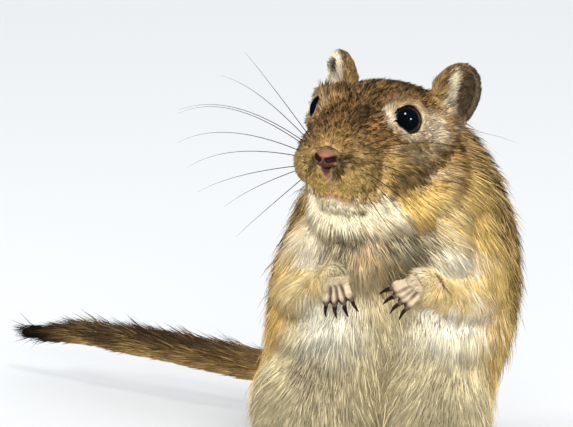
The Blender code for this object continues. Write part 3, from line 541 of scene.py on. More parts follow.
def skin_look(name):
    """Bare where nothing grows, and the colour of the coat's under side elsewhere."""
    bare_colours = bpy.context.scene.gerbil_bare
    look = Look(name, 0.7)
    fine = look.noise(900.0, 3.0)
    broad = look.noise(160.0, 2.0)
    hair = marked_colour(look, 0.30 + fine * 0.5, broad, fine)
    lip, bare, seam, _ = look.attribute("face_marks")
    naked = look.shade(tuple(bare_colours.paw), 0.82 + broad * 0.36)
    naked = look.blend(lip, naked, look.shade(tuple(bare_colours.lip), 0.7 + fine * 0.6))
    # painted shade in the grooves between the digits, the hollows of the hind feet and the cleft above the lip
    naked = look.blend(seam, naked, tuple(bare_colours.seam))
    look.colour(look.blend(bare, hair, naked))
    creases = look.noise(1800.0, 3.0)
    look.bump(creases, 0.12 * MM, 0.6)
    return look.material


# ---------------------------------------------------------------- meshes as arrays


def select_only(*objects):
    """Selects the objects and makes the first one active."""
    bpy.ops.object.select_all(action="DESELECT")
    for obj in objects:
        obj.select_set(True)
    bpy.context.view_layer.objects.active = objects[0]


def apply_modifier(obj, kind, **settings):
    """Adds a modifier with these settings and applies it."""
    select_only(obj)
    modifier = obj.modifiers.new(kind.title(), kind)
    for name, value in settings.items():
        setattr(modifier, name, value)
    bpy.ops.object.modifier_apply(modifier=modifier.name)


def read(items, name, width, kind=float):
    """One property of every item of a mesh, as rows."""
    values = np.empty(len(items) * width, dtype=np.float32 if kind is float else np.int32)
    items.foreach_get(name, values)
    values = values.astype(kind)
    return values.reshape(-1, width) if width > 1 else values


def mesh_object(name, places, faces):
    """A mesh object from rows of places in millimetres and rows of three corners."""
    mesh = bpy.data.meshes.new(name)
    mesh.vertices.add(len(places))
    mesh.vertices.foreach_set("co", (np.asarray(places) * MM).astype(np.float32).ravel())
    mesh.loops.add(faces.size)
    mesh.loops.foreach_set("vertex_index", faces.astype(np.int32).ravel())
    mesh.polygons.add(len(faces))
    mesh.polygons.foreach_set("loop_start", np.arange(0, faces.size, 3, dtype=np.int32))
    mesh.update(calc_edges=True)
    mesh.polygons.foreach_set("use_smooth", np.full(len(faces), True))
    obj = bpy.data.objects.new(name, mesh)
    bpy.context.scene.collection.objects.link(obj)
    return obj


def ring_faces(rings, sides, closed):
    """Triangles from each ring of vertices to the next, and from the last to the first if closed."""
    faces = []
    for ring in range(rings if closed else rings - 1):
        for k in range(sides):
            a, b = (ring * sides + side % sides for side in (k, k + 1))
            c, d = ((ring + 1) % rings * sides + side % sides for side in (k, k + 1))
            faces += [(a, c, b), (b, c, d)]
    return faces


def set_numbers(obj, name, *columns):
    """Stores up to four numbers at every vertex under one name."""
    count = len(obj.data.vertices)
    values = np.ones((count, 4), dtype=np.float32)
    for i, column in enumerate(columns):
        values[:, i] = column
    obj.data.attributes.new(name, "FLOAT_COLOR", "POINT").data.foreach_set("color", values.ravel())


def unit(rows):
    """Every row at a length of 1."""
    return rows / np.maximum(np.linalg.norm(rows, axis=-1, keepdims=True), 1e-9)


def rise(values, low, high):
    """0 below low, 1 above high and smooth between them."""
    share = np.clip((values - low) / (high - low), 0.0, 1.0)
    return share * share * (3.0 - 2.0 * share)


def spot(places, centre, radii, soft=0.45):
    """1 inside a soft-edged ellipsoid and 0 outside it."""
    away = np.linalg.norm((places - np.array(centre)) / np.array(radii), axis=1)
    return 1.0 - rise(away, 1.0 - soft, 1.0 + soft)


class Surface:
    """A mesh as arrays, in millimetres, with values blurred along its edges."""

    def __init__(self, obj):
        mesh = obj.data
        self.obj = obj
        self.places = read(mesh.vertices, "co", 3) / MM
        edges = read(mesh.edges, "vertices", 2, int)
        self.ends = np.concatenate((edges[:, 0], edges[:, 1]))
        self.others = np.concatenate((edges[:, 1], edges[:, 0]))
        self.count = np.maximum(np.bincount(self.ends, minlength=len(self.places)), 1)

    def mean(self, values):
        """The mean of every vertex's neighbours."""
        columns = values.reshape(len(values), -1)
        sums = [np.bincount(self.ends, c[self.others], len(values)) / self.count for c in columns.T]
        return np.stack(sums, axis=1).reshape(values.shape)

    def blur(self, values, steps, share=0.6):
        for _ in range(steps):
            values = values + (self.mean(values) - values) * share
        return values

    def relax(self, steps, share):
        """Evens the surface out by an amount given at every vertex, without shrinking it."""
        share = np.asarray(share).reshape(-1, 1)
        for _ in range(steps):
            self.places += (self.mean(self.places) - self.places) * 0.55 * share
            self.places -= (self.mean(self.places) - self.places) * 0.57 * share

    def write(self):
        self.obj.data.vertices.foreach_set("co", (self.places * MM).astype(np.float32).ravel())
        self.obj.data.update()

    def normals(self):
        """The vertex normals of the places as they are now."""
        self.write()
        return read(self.obj.data.vertex_normals, "vector", 3)


# ---------------------------------------------------------------- the body's own measures


def to_head(places):
    """Places of the animal's frame in the head's own frame."""
    return (places - HEAD_POINT) @ HEAD_AXES


def from_head(places):
    """Places of the head's own frame in the animal's frame."""
    return np.asarray(places) @ HEAD_AXES.T + HEAD_POINT


def head_ways(ways):
    """Directions of the head's own frame in the animal's frame."""
    return ways @ HEAD_AXES.T


def on_one_side(head):
    """Places in the head's own frame, with its right side mirrored onto its left."""
    return np.column_stack((np.abs(head[:, 0]), head[:, 1:]))


def ear_axes(word):
    """The foot of an ear and its own axes, across, back and up, in the head's frame."""
    side = 1 if word == "left" else -1
    turn_out, lean_out = EAR_TURNS[word]
    turn = (
        Matrix.Rotation(math.radians(lean_out) * side, 3, "Y")
        @ Matrix.Rotation(math.radians(-EAR_LEAN_BACK), 3, "X")
        @ Matrix.Rotation(math.radians(turn_out) * side, 3, "Z")
    )
    return EAR_FOOT * (side, 1, 1), np.array(turn)


def to_ear(head_places, word):
    """Places of the head's frame in the own frame of one ear."""
    foot, axes = ear_axes(word)
    return (head_places - foot) @ axes


def along_tail(places):
    """How far along the tail each place is, from 0 to 1, its middle there and the way on."""
    line = TAIL_LINE[:, :3]
    pieces = np.diff(line, axis=0)
    lengths = np.linalg.norm(pieces, axis=1)
    starts = np.concatenate(((0.0,), np.cumsum(lengths)))
    best = np.full(len(places), np.inf)
    share = np.zeros(len(places))
    middle = np.zeros((len(places), 3))
    way = np.zeros((len(places), 3))
    for i, piece in enumerate(pieces):
        t = np.clip((places - line[i]) @ piece / lengths[i] ** 2, 0.0, 1.0)
        found = line[i] + t[:, None] * piece
        away = np.linalg.norm(places - found, axis=1)
        closer = away < best
        best[closer] = away[closer]
        share[closer] = (starts[i] + t[closer] * lengths[i]) / starts[-1]
        middle[closer] = found[closer]
        way[closer] = piece / lengths[i]
    return share, middle, way


def trunk_angle(places):
    """Degrees round the trunk from its front, more than 90 on the back."""
    return np.degrees(np.arctan2(np.abs(places[:, 0] + 0.5), 1.5 - places[:, 1]))


# ---------------------------------------------------------------- skin


def flesh_copy(node, push):
    """A copy of a node's surface with its loose triangles joined, pushed out a little."""
    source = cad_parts[node]
    bm = bmesh.new()
    bm.from_mesh(source.data)
    bmesh.ops.remove_doubles(bm, verts=bm.verts, dist=0.002 * MM)
    bm.normal_update()
    for vertex in bm.verts:
        vertex.co += vertex.normal * push
    mesh = bpy.data.meshes.new(node + "_copy")
    bm.to_mesh(mesh)
    bm.free()
    made = bpy.data.objects.new(node + "_copy", mesh)
    bpy.context.scene.collection.objects.link(made)
    return made


def tail_core():
    """A round tube along the tail, as thick as its flesh."""
    sides = 12
    steps = 40
    shares = np.linspace(0, len(TAIL_LINE) - 1, steps)
    rows = np.stack([np.interp(shares, np.arange(len(TAIL_LINE)), c) for c in TAIL_LINE.T], axis=1)
    ways = unit(np.gradient(rows[:, :3], axis=0))
    across = unit(np.cross(ways, (0.0, 0.0, 1.0)))
    up = np.cross(across, ways)
    turns = np.linspace(0, 2 * math.pi, sides, endpoint=False)
    rings = (
        rows[:, None, :3]
        + across[:, None] * np.sin(turns)[None, :, None] * rows[:, None, 3:]
        + up[:, None] * np.cos(turns)[None, :, None] * rows[:, None, 3:]
    ).reshape(-1, 3)
    faces = ring_faces(steps, sides, closed=False)
    ends = len(rings)
    rings = np.vstack((rings, rows[0, :3], rows[-1, :3]))
    last = (steps - 1) * sides
    for k in range(sides):
        faces.append((k, (k + 1) % sides, ends))
        faces.append((last + (k + 1) % sides, last + k, ends + 1))
    return mesh_object("tail_core", rings, np.array(faces))


def region_shares(surface, steps):
    """How much of each region every vertex of the surface belongs to."""
    places, labels = [], []
    for i, names in enumerate(FLESH.values()):
        for name in names:
            here = read(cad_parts[name].data.polygons, "center", 3) / MM
            places.append(here)
            labels += [i] * len(here)
    found = np.array(labels)[nearest(np.vstack(places), surface.places)]
    shares = surface.blur(np.eye(len(REGIONS))[found], steps)
    return {name: shares[:, i] for i, name in enumerate(REGIONS)}


def by_region(shares, values):
    """One value at every place, from the values of the regions that it belongs to."""
    return sum(shares[name] * values[name] for name in REGIONS)


def coat_depth(places, shares):
    """How far the skin lies inside the solids, in millimetres."""
    head = to_head(places)
    muzzle = rise(-head[:, 1], -4.0, 10.0)
    face = (1.0 - 0.7 * muzzle) * rise(eye_distance(head), 4.6, 8.0)
    cheek = spot(head, (9, 6, -10), (8, 10, 8)) + spot(head, (-9, 6, -10), (8, 10, 8))
    face += 0.5 * cheek
    wrist = near(places, list(WRISTS.values()))
    leg = 0.2 + 3.0 * rise(wrist, 2.0, 10.0)
    depths = {
        "torso": 2.0, "neck": 1.9, "head": face, "ear": 0.08, "foreleg": leg,
        "forepaw": 0.0, "thigh": 1.9, "foot": 0.5, "tail": 0.0,
    }
    return np.minimum(by_region(shares, depths), np.maximum(places[:, 2], 0.0) * 0.8 + 0.2)


def build_skin():
    """One skin over head, trunk, legs and tail, inside the coat by its depth."""
    apart = ("tail", "forepaw", "foot")
    names = [n for region, group in FLESH.items() if region not in apart for n in group]
    copies = [flesh_copy(name, 0.2 * MM) for name in names] + [tail_core()]
    for centre, radii in FILLERS:
        bpy.ops.mesh.primitive_uv_sphere_add(radius=MM, location=Vector(centre) * MM, scale=radii)
        copies.append(bpy.context.active_object)
        settle(copies[-1])
    select_only(*copies)
    bpy.ops.object.join()
    skin = bpy.context.view_layer.objects.active
    skin.name = "skin"
    skin.data.name = "skin"
    skin.data.materials.clear()
    apply_modifier(skin, "REMESH", mode="VOXEL", voxel_size=SKIN_VOXEL * MM, adaptivity=0.0)
    keep_outside(skin)
    surface = Surface(skin)
    shares = region_shares(surface, 6)
    head = to_head(surface.places)
    soft = shares["torso"] + shares["thigh"] + shares["neck"] + shares["foreleg"]
    soft += shares["head"] * rise(-head[:, 2], 9.0, 12.0) * rise(head[:, 1], -8, -4)
    soft += shares["head"] * rise(-head[:, 2], 17.0, 18.5)
    soft *= rise(near(surface.places, list(WRISTS.values())), 4.0, 7.0) * (1 - shares["tail"])
    group = skin.vertex_groups.new(name="soft")
    group.add(np.flatnonzero(soft > 0.5).tolist(), 1.0, "REPLACE")
    apply_modifier(skin, "SMOOTH", factor=0.5, iterations=420, vertex_group="soft")
    skin.vertex_groups.clear()
    surface = Surface(skin)
    thin = np.clip(shares["ear"] + shares["forepaw"] + shares["foot"], 0, 1)
    surface.relax(26, 1.0 - 0.75 * thin)
    depth = surface.blur(coat_depth(surface.places, shares), 24)
    steps = 5
    for _ in range(steps):
        surface.places -= surface.normals() * (depth / steps)[:, None]
        surface.relax(2, (1.0 - 0.9 * thin) * np.minimum(depth, 1.0))
    surface.places[:, 2] = np.maximum(surface.places[:, 2], 0.05)
    surface.write()
    finish_mesh(skin, SKIN_TRIANGLES)
    return skin


def unwrap(obj):
    """Lays the surface's own shape out flat, as the one UV map."""
    while obj.data.uv_layers:
        obj.data.uv_layers.remove(obj.data.uv_layers[0])
    obj.data.uv_layers.new(name="OFBake")
    select_only(obj)
    bpy.ops.object.mode_set(mode="EDIT")
    bpy.ops.mesh.select_all(action="SELECT")
    bpy.ops.uv.smart_project(angle_limit=math.radians(66.0), island_margin=0.002)
    bpy.ops.object.mode_set(mode="OBJECT")


def finish_mesh(obj, most=None):
    """Brings a mesh down to the most triangles it may have, shades it smooth and lays it out."""
    if most:
        apply_modifier(obj, "DECIMATE", ratio=min(1.0, most / (2.0 * len(obj.data.polygons))))
    apply_modifier(obj, "TRIANGULATE")
    select_only(obj)
    bpy.ops.object.shade_smooth()
    unwrap(obj)


def even_copy(node, name, voxel):
    """A copy of a node's surface, made of small even faces."""
    made = flesh_copy(node, 0.10 * MM)
    made.name = made.data.name = name
    made.data.materials.clear()
    apply_modifier(made, "REMESH", mode="VOXEL", voxel_size=voxel * MM)
    return made


def keep_outside(obj):
    """Removes every closed surface but the largest, such as a hollow left inside."""
    bm = bmesh.new()
    bm.from_mesh(obj.data)
    left = set(bm.verts)
    groups = []
    while left:
        seed = left.pop()
        group, todo = [seed], [seed]
        while todo:
            for edge in todo.pop().link_edges:
                for vertex in edge.verts:
                    if vertex in left:
                        left.discard(vertex)
                        group.append(vertex)
                        todo.append(vertex)
        groups.append(group)
    groups.sort(key=len)
    drop = [v for group in groups[:-1] for v in group]
    if drop:
        bmesh.ops.delete(bm, geom=drop, context="VERTS")
        bm.to_mesh(obj.data)
    bm.free()


# ---------------------------------------------------------------- marks and lie of the coat


def lip_places(skin_tree):
    """Points on the skin along the cleft and the lips."""

    def on_skin(turn, height):
        way = np.array((math.sin(turn), -math.cos(turn), 0.0))
        start = from_head(np.array((0.0, -4.0, height)) + way * 30.0)
        found = skin_tree.ray_cast(Vector(start * MM), Vector(head_ways(-way)))[0]
        return np.array(found) / MM

    cleft = [on_skin(0.0, z) for z in np.interp(np.linspace(0, 4, 9), range(5), CLEFT_HEIGHTS)]
    turns, heights = zip(*LIP_LINE)
    lips = []
    for side in (-1, 1):
        for turn in np.linspace(0, 56, 14):
            lips.append(on_skin(side * math.radians(turn), np.interp(turn, turns, heights)))
    return np.array(cleft), np.array(lips)


def eye_distance(head):
    """How far each place, in the head's frame, is from the middle of the eye on its side."""
    return np.linalg.norm(on_one_side(head) - EYE_PLACE, axis=1)


def nearest(points, places):
    """The index of the nearest of the points to each place."""
    tree = KDTree(len(points))
    for i, point in enumerate(points):
        tree.insert(point, i)
    tree.balance()
    return np.array([tree.find(place)[1] for place in places])


def near(places, points):
    """Distance from each place to the nearest of the points."""
    best = np.full(len(places), np.inf)
    for point in points:
        best = np.minimum(best, np.linalg.norm(places - point, axis=1))
    return best


def marks_at(places, normals, shares, cleft, lips):
    """The coat's marks at every place: each a number from 0 to 1."""
    x, y, z = places.T
    head = to_head(places)
    band = 55.0 + (50.0 - z) * np.where(z > 50.0, 0.5, 0.8)
    ripple = 4.0 * np.sin(z * 0.55 + x * 0.2) + 3.0 * np.sin(z * 1.3 + y * 0.3)
    angle = trunk_angle(places) + ripple
    body = np.clip(shares["torso"] + shares["thigh"] + shares["foreleg"] + shares["neck"], 0, 1)
    face = shares["head"]
    marks = {name: np.zeros_like(x) for name in MARKS}

    def paint(name, amount):
        marks[name] = np.maximum(marks[name], amount)

    def dab(name, where, share, spots):
        for centre, radii, amount in spots:
            paint(name, amount * spot(where, centre, radii, 0.55) * share)

    # trunk: cream in front, a golden band along the flank, ticked brown behind it
    trunk_cream = 1.0 - rise(angle, band - 26.0, band - 6.0)
    paint("gold", np.exp(-(((angle - band) / 18.0) ** 2)) * 0.9 * body)
    paint("gold", 0.25 * body)
    paint("tick", rise(angle, band - 2.0, band + 18.0) * body)

    # belly and chest
    front = rise(-y, 4.0, 14.0)
    middle = np.interp(z, (20, 24, 29, 35.6, 43.2, 54), (-0.6, 0, 1.6, 2.6, -0.7, -2.6))
    away = (x - middle) / np.interp(z, (20, 36, 44, 52), (1.3, 1.5, 2.6, 3.4))
    stripe = np.exp(-(away**2)) * front * rise(z, 14, 24) * rise(-z, -62, -57)
    dab("gold", places, body, BODY_SPOTS["gold"])
    marks["cream"] = trunk_cream * (1.0 - 0.85 * marks["gold"]) * body
    marks["gold"] = np.maximum(marks["gold"], 0.8 * stripe)
    paint("rust", (0.15 + 0.45 * rise(z, 44, 51)) * stripe)
    dab("white", places, shares["torso"] + shares["thigh"], TRUNK_WHITE)
    for name in ("rust", "white", "grey", "dark"):
        dab(name, places, body, BODY_SPOTS[name])
    paint("grey", 0.12 * marks["cream"])
    paint("grey", 0.30 * marks["tick"])

    face_marks_on(marks, paint, dab, face, head)
    lip = (1.0 - rise(near(places, lips), 0.45, 0.95)) * rise(-near(places, cleft[-1:]), -7.5, -5.5)
    wide = np.interp(head[:, 2], (-15.2, -12.5, -10.5, -9.0), (0.45, 0.65, 1.15, 1.80))
    groove = 1.0 - rise(near(places, cleft) / wide, 0.60, 1.15)
    mouth = np.maximum(0.8 * lip, groove * (0.7 + 0.3 * rise(head[:, 2], -12.5, -10.5))) * face
    ear_marks_on(paint, shares["ear"], head, normals)

    # paws, feet and tail
    paw = np.clip(shares["forepaw"] + shares["foot"], 0, 1)
    paint("pale", 0.55 * paw)
    paint("cream", 0.35 * paw)
    paint("grey", 0.25 * paw)
    share, centre, _ = along_tail(places)
    tail = shares["tail"]
    up = unit(places - centre)[:, 2]
    crest = rise(up, 0.30, 0.75)
    for name in ("cream", "white", "grey", "pale"):
        marks[name] = marks[name] * (1 - tail)
    marks["tick"] = marks["tick"] * (1 - tail) + (0.2 + 0.25 * rise(share, 0.1, 0.6)) * tail
    paint("gold", tail * (1 - crest) * (0.9 - 0.45 * rise(share, 0.1, 0.5)))
    paint("rust", tail * 0.35)
    paint("dark", tail * crest * rise(share, 0.15, 0.50) * 0.8)
    paint("dark", tail * rise(share, 0.84, 0.94))
    return {
        "marks": (marks["cream"], marks["gold"], marks["dark"], marks["grey"]),
        "more_marks": (marks["pale"], marks["white"], marks["tick"], marks["rust"]),
        # the third column is painted shade along the groove of the cleft above the lip
        "face_marks": (mouth, mouth, 0.95 * groove * face * rise(head[:, 2], -13.0, -9.8)),
    }


def head_lie(head, body_hair, face_hair):
    """The way the head's hair lies, its length and its lift."""
    hx, hy, hz = head.T
    mirrored = on_one_side(head)
    low = rise(-hz, 3.0, 12.0)
    muzzle = rise(-hy, 0.0, 12.0)
    crown = rise(hz, -3.0, 3.0)

    # back from the nose, over the crown and down the cheeks, parted round the eyes
    from_nose = unit(head - NOSE_PLACE + (0.0, 1.0, 0.0))
    close = np.exp(-np.linalg.norm(head - NOSE_PLACE, axis=1) / 6.0)[:, None]
    back = unit(np.stack((0.12 * np.sign(hx), np.ones_like(hx), -0.05 - 0.75 * low), 1))
    eye = mirrored - EYE_PLACE
    away = np.linalg.norm(eye, axis=1)[:, None]
    parted = unit(eye) * np.exp(-(((away - 3.5) / 2.2) ** 2)) * 0.8
    parted[:, 0] *= np.where(hx < 0, -1, 1)
    way = head_ways(unit(from_nose * close + back * (1 - close) + parted))

    # short on the muzzle, crown and lips and round the eyes, as long as the body's below the jaw
    length = face_hair * (1.0 - 0.66 * muzzle) * (1.0 - 0.22 * crown)
    length *= 0.42 + 0.58 * rise(away[:, 0], 4.4, 8.0)
    below = rise(-hz, 10.0, 14.5) * rise(hy, -12.0, -4.0)
    length += (0.8 * body_hair - length) * below
    length *= 1.0 - 0.55 * spot(mirrored, (1.5, -11.0, -13.8), (5.0, 5.0, 3.2))
    brow = spot(head, (-5.6, -3.6, 2.6), (2.6, 4.0, 2.4))
    length += 2.2 * brow
    return way, length, 21.0 + 3.0 * low + 22.0 * brow + 4.0 * muzzle


def ear_lie(head, normals):
    """The way the ears' hair lies and its length, longest low on the inside."""
    way = np.zeros_like(head)
    length = np.full(len(head), 1.2)
    for word, sign in (("left", 1), ("right", -1)):
        _, axes = ear_axes(word)
        own = to_ear(head, word)
        here = np.sign(head[:, 0]) == sign
        inner = rise(-(normals @ HEAD_AXES @ axes)[:, 1], -0.1, 0.5)
        up = axes[:, 2] + 0.35 * np.sign(own[:, :1]) * axes[:, 0]
        up = up + (0.9 * sign * inner[:, None]) * axes[:, 0]
        way[here] = head_ways(up)[here]
        longer = rise(-own[:, 0] * sign, -1.0, 2.0) * inner * rise(-own[:, 2], -8.0, -4.0)
        length[here] = (1.1 + 2.0 * longer + 0.8 * rise(-own[:, 2], -3.0, 0.0))[here]
    return way, length


def trunk_lie(places, outward):
    """The way the trunk's hair lies: back over the sides, fanned on the chest, to the belly's crease."""
    x, y, z = places.T
    ones = np.ones_like(x)
    side_way = np.stack((0.12 * outward, 0.30 * ones, -ones), 1)
    fan = places - (-5.0, -24.0, 62.0)
    chest_way = unit(np.stack((fan[:, 0], -2.0 * ones, -np.abs(fan[:, 2]) * 0.6 - 5.0), 1))
    belly_way = unit(np.stack((np.interp(x, *BELLY_DRIFT), -0.1 * ones, -ones), 1))
    front = rise(-y, 2.0, 12.0)[:, None]
    high = rise(z, 36.0, 46.0)[:, None]
    return side_way * (1 - front) + (belly_way * (1 - high) + chest_way * high) * front


def coat_lie(places, normals, shares):
    """The way the hair lies at every place, its length, rise and clumping."""
    coat = bpy.context.scene.gerbil_coat
    body_hair = coat.body_hair / MM
    x, y, _ = places.T
    head = to_head(places)
    ones = np.ones_like(x)
    outward = np.sign(x + 0.5)

    body_way = trunk_lie(places, outward)
    neck_way = np.stack((0.25 * outward, 0.5 * ones, -0.9 * ones), 1)
    head_way, face_length, face_lift = head_lie(head, body_hair, coat.face_hair / MM)
    ear_way, ear_length = ear_lie(head, normals)
    wrist = near(places, list(WRISTS.values()))
    paw_way = np.where((x > 0)[:, None], PAW_WAYS["left"], PAW_WAYS["right"])
    reached = rise(-wrist, -9.0, -3.0)[:, None]
    arm_way = unit(np.stack((0.10 * outward, -0.12 * ones, -ones), 1))
    arm_way = arm_way * (1 - reached) + paw_way * reached
    foot_way = np.stack((0.16 * outward, -ones, -0.1 * ones), 1)
    share, middle, tail_way = along_tail(places)
    ways = {
        "torso": body_way, "neck": neck_way, "head": head_way, "ear": ear_way, "foreleg": arm_way,
        "forepaw": paw_way, "thigh": body_way, "foot": foot_way, "tail": tail_way,
    }
    way = sum(shares[name][:, None] * unit(ways[name]) for name in REGIONS)

    leg_length = 2.4 + (body_hair * 0.85 - 2.4) * rise(wrist, 2.0, 11.0)
    crest = rise(unit(places - middle)[:, 2], 0.10, 0.80) * rise(share, 0.12, 0.42)
    tail_length = 5.0 + (coat.crest_hair / MM - 5.0) * crest * rise(-share, -1.08, -0.75)
    tail_length = tail_length + 4.6 * rise(share, 0.86, 1.0)
    lengths = {
        "torso": body_hair * (0.85 + 0.15 * rise(-y, -8.0, 8.0)), "neck": body_hair * 0.85,
        "head": face_length, "ear": ear_length, "foreleg": leg_length,
        "forepaw": 0.45 + 1.8 * rise(-wrist, -2.6, -1.2), "thigh": body_hair * 0.95,
        "foot": 0.8 + 0.9 * rise(y, -22.0, -14.0), "tail": tail_length,
    }
    lifts = {
        "torso": 21.0, "neck": 23.0, "head": face_lift, "ear": 18.0, "foreleg": 24.0, "forepaw": 12.0,
        "thigh": 20.0, "foot": 12.0, "tail": 13.0 + 27.0 * crest * rise(-share, -0.97, -0.8),
    }
    clumps = {
        "torso": 0.36, "neck": 0.36, "head": 0.46, "ear": 0.3, "foreleg": 0.36,
        "forepaw": 0.1, "thigh": 0.38, "foot": 0.1, "tail": 0.30 + 0.15 * crest,
    }
    return way, *(by_region(shares, values) for values in (lengths, lifts, clumps))


# ---------------------------------------------------------------- wisps of hair


class Coat:
    """A surface's triangles, with what grows on them, ready to draw roots from."""

    def __init__(self, skin):
        mesh = skin.data
        surface = Surface(skin)
        self.surface = surface
        self.normals = surface.normals()
        self.places = surface.places
        self.corners = read(mesh.polygons, "vertices", 3, int)
        self.tree = BVHTree.FromPolygons([Vector(p * MM) for p in self.places], self.corners.tolist())
        if "lips" not in STORE:
            STORE["lips"] = lip_places(self.tree)
        shares = region_shares(surface, 20)
        self.marks = marks_at(self.places, self.normals, shares, *STORE["lips"])
        way, length, lift, clump = coat_lie(self.places, self.normals, shares)
        inward = (way * self.normals).sum(1, keepdims=True)
        way = surface.blur(unit(way - self.normals * inward), 10)
        self.fields = np.column_stack((way, length, lift, clump))
        self.shares = shares
        head = to_head(self.places)
        nose = np.linalg.norm(head - NOSE_PLACE, axis=1)
        self.open = np.clip(self.marks["face_marks"][0] + (1.0 - rise(nose, 1.2, 1.8)), 0, 1)
        self.open = np.maximum(self.open, 1.0 - rise(eye_distance(head), 3.6, 3.9))
        uv = mesh.uv_layers["OFBake"].uv
        self.uv = read(uv, "vector", 2).reshape(-1, 3, 2)
        a, b, c = (self.places[self.corners[:, i]] for i in range(3))
        self.area = 0.5 * np.linalg.norm(np.cross(b - a, c - a), axis=1)

    def store_marks(self):
        """Gives the marks to the surface's own vertices, for its material."""
        for name, columns in self.marks.items():
            set_numbers(self.surface.obj, name, *columns)

    def roots(self, count, density, draw):
        """Roots spread evenly over the skin where the density is, as rows of barycentric shares."""
        weight = self.area * density[self.corners].mean(1)
        total = np.cumsum(weight)
        picks = (np.arange(count) + draw.random(count)) / count * total[-1]
        faces = np.minimum(np.searchsorted(total, picks), len(total) - 1)
        u, v = draw.random(count), draw.random(count)
        flip = u + v > 1
        u[flip], v[flip] = 1 - u[flip], 1 - v[flip]
        return faces, np.stack((1 - u - v, u, v), 1)

    def at(self, values, faces, shares):
        """Values of the vertices at roots on the faces."""
        picked = values[self.corners[faces]]
        if values.ndim == 1:
            return (picked * shares).sum(1)
        return (picked * shares[:, :, None]).sum(1)


def sway(places, scale, seed):
    """A smooth wander of three numbers over space."""
    draw = np.random.default_rng(seed)
    total = np.zeros_like(places)
    for octave in range(3):
        pitch = scale * 1.9**octave
        for axis in range(3):
            k = draw.normal(size=3)
            k *= 2 * math.pi / pitch / np.linalg.norm(k)
            total[:, axis] += np.sin(places @ k + draw.random() * 6.28) / 1.6**octave
    return total / 1.6


def wisp_lines(places, normals, fields, draw, spec):
    """The bend of each wisp: three points that it starts from, is drawn towards and ends at."""
    way = unit(fields[:, :3])
    wander = sway(places, 11.0, 5) + 0.7 * sway(places, 3.2, 9)
    way = way + spec.get("wander", 0.13) * wander + draw.normal(size=way.shape) * spec["stray"]
    way = unit(way - normals * (way * normals).sum(1, keepdims=True))
    length = fields[:, 3] * spec.get("longer", 1.0) * draw.uniform(0.75, 1.20, len(places))
    lift = np.radians(fields[:, 4] + spec.get("raise", 0.0)) * draw.uniform(0.65, 1.3, len(places))
    end_lift = lift * draw.uniform(0.35, 0.95, len(places))
    reach = length[:, None]
    level, risen = np.cos(lift)[:, None], np.sin(lift)[:, None]
    first = places + reach * 0.5 * (way * level * 0.92 + normals * risen * 1.15)
    level, risen = np.cos(end_lift)[:, None], np.sin(end_lift)[:, None]
    last = places + reach * (way * level + normals * risen)
    last = last - normals * (reach**2) * DROOP
    return first, last


def wisp_mesh(name, coat, faces, shares, lines, widths, rings, tones, marks):
    """Closed three-sided wisps with a root, a swelling and a fine tip, as one mesh."""
    start, first, last = lines
    count = len(start)
    normals = unit(coat.at(coat.normals, faces, shares))
    spots, girth = WISP_RINGS[rings]
    pointed = rings == 1
    turns = np.radians((90.0, 210.0, 330.0))
    rows = [start] if pointed else []
    for t, wide in zip(spots, girth):
        middle = start * (1 - t) ** 2 + first * 2 * t * (1 - t) + last * t**2
        way = unit((first - start) * (1 - t) + (last - first) * t)
        across = unit(np.cross(way, normals))
        up = np.cross(across, way)
        size = (widths * wide * 0.5)[:, None]
        for turn in turns:
            rows.append(middle + size * (across * math.cos(turn) + up * math.sin(turn) * 0.55))
    rows.append(last)
    per = len(rows)
    places = np.stack(rows, 1).reshape(-1, 3)
    places[:, 2] = np.maximum(places[:, 2], 0.06)
    base = 1 if pointed else 0
    pattern = [(0, 1 + (k + 1) % 3, 1 + k) for k in range(3)] if pointed else [(0, 2, 1)]
    for r in range(rings - 1):
        for k in range(3):
            a, b = 3 * r + k, 3 * r + (k + 1) % 3
            pattern += [(a, b, a + 3), (b, b + 3, a + 3)]
    top = base + 3 * (rings - 1)
    pattern += [(top + k, top + (k + 1) % 3, per - 1) for k in range(3)]
    pattern = np.array(pattern)
    triangles = (np.arange(count)[:, None, None] * per + pattern).reshape(-1, 3)
    obj = mesh_object(name, places, triangles)
    along = np.concatenate(([0.0] * base, np.repeat(spots, 3), (1.0,)))
    set_numbers(
        obj, "wisp", np.tile(along, count), np.repeat(tones[:, 0], per), np.repeat(tones[:, 1], per)
    )
    for mark, columns in marks.items():
        set_numbers(obj, mark, *np.repeat(columns, per, axis=0).T)
    centre = (coat.uv[faces] * shares[:, :, None]).sum(1)
    off = np.array([(k % 3 * 0.001, t * 0.0026 + (k % 3 == 1) * 0.0003) for k, t in zip(range(per), along)])
    off = off - 0.0014
    points = np.clip(centre[:, None, :] + off[None], 0.0, 1.0).reshape(-1, 2)
    layer = obj.data.uv_layers.new(name="OFBake")
    layer.uv.foreach_set("vector", points[triangles.ravel()].astype(np.float32).ravel())
    return obj


def clumped(coat, density, lines, fields, seed, spec):
    """Draws the ends of the wisps together in pointed tufts, as the fur parts."""
    draw = np.random.default_rng(seed)
    start, first, last = lines
    spacing = spec["clump"]
    area = (coat.area * density[coat.corners].mean(1)).sum()
    count = max(int(area / spacing**2), 4)
    faces, shares = coat.roots(count, density, draw)
    places = coat.at(coat.places, faces, shares)
    normals = unit(coat.at(coat.normals, faces, shares))
    own = coat.at(coat.fields, faces, shares)
    tip_first, tip_last = wisp_lines(places, normals, own, draw, spec)
    tuft = nearest(places, start)
    pull = fields[:, 5] * draw.uniform(0.75, 1.15, len(start))
    spread = start - places[tuft]
    away = np.linalg.norm(spread, axis=1)
    pull = (np.clip(pull, 0, 0.92) * (1.0 - rise(away, spacing * 1.1, spacing * 2.2)))[:, None]
    last = last * (1 - pull) + (tip_last[tuft] + spread * 0.25) * pull
    first = first * (1 - pull * 0.35) + (tip_first[tuft] + spread * 0.7) * pull * 0.35
    return first, last, np.hstack((draw.random((count, 2)), draw.normal(size=(count, 3))))[tuft]


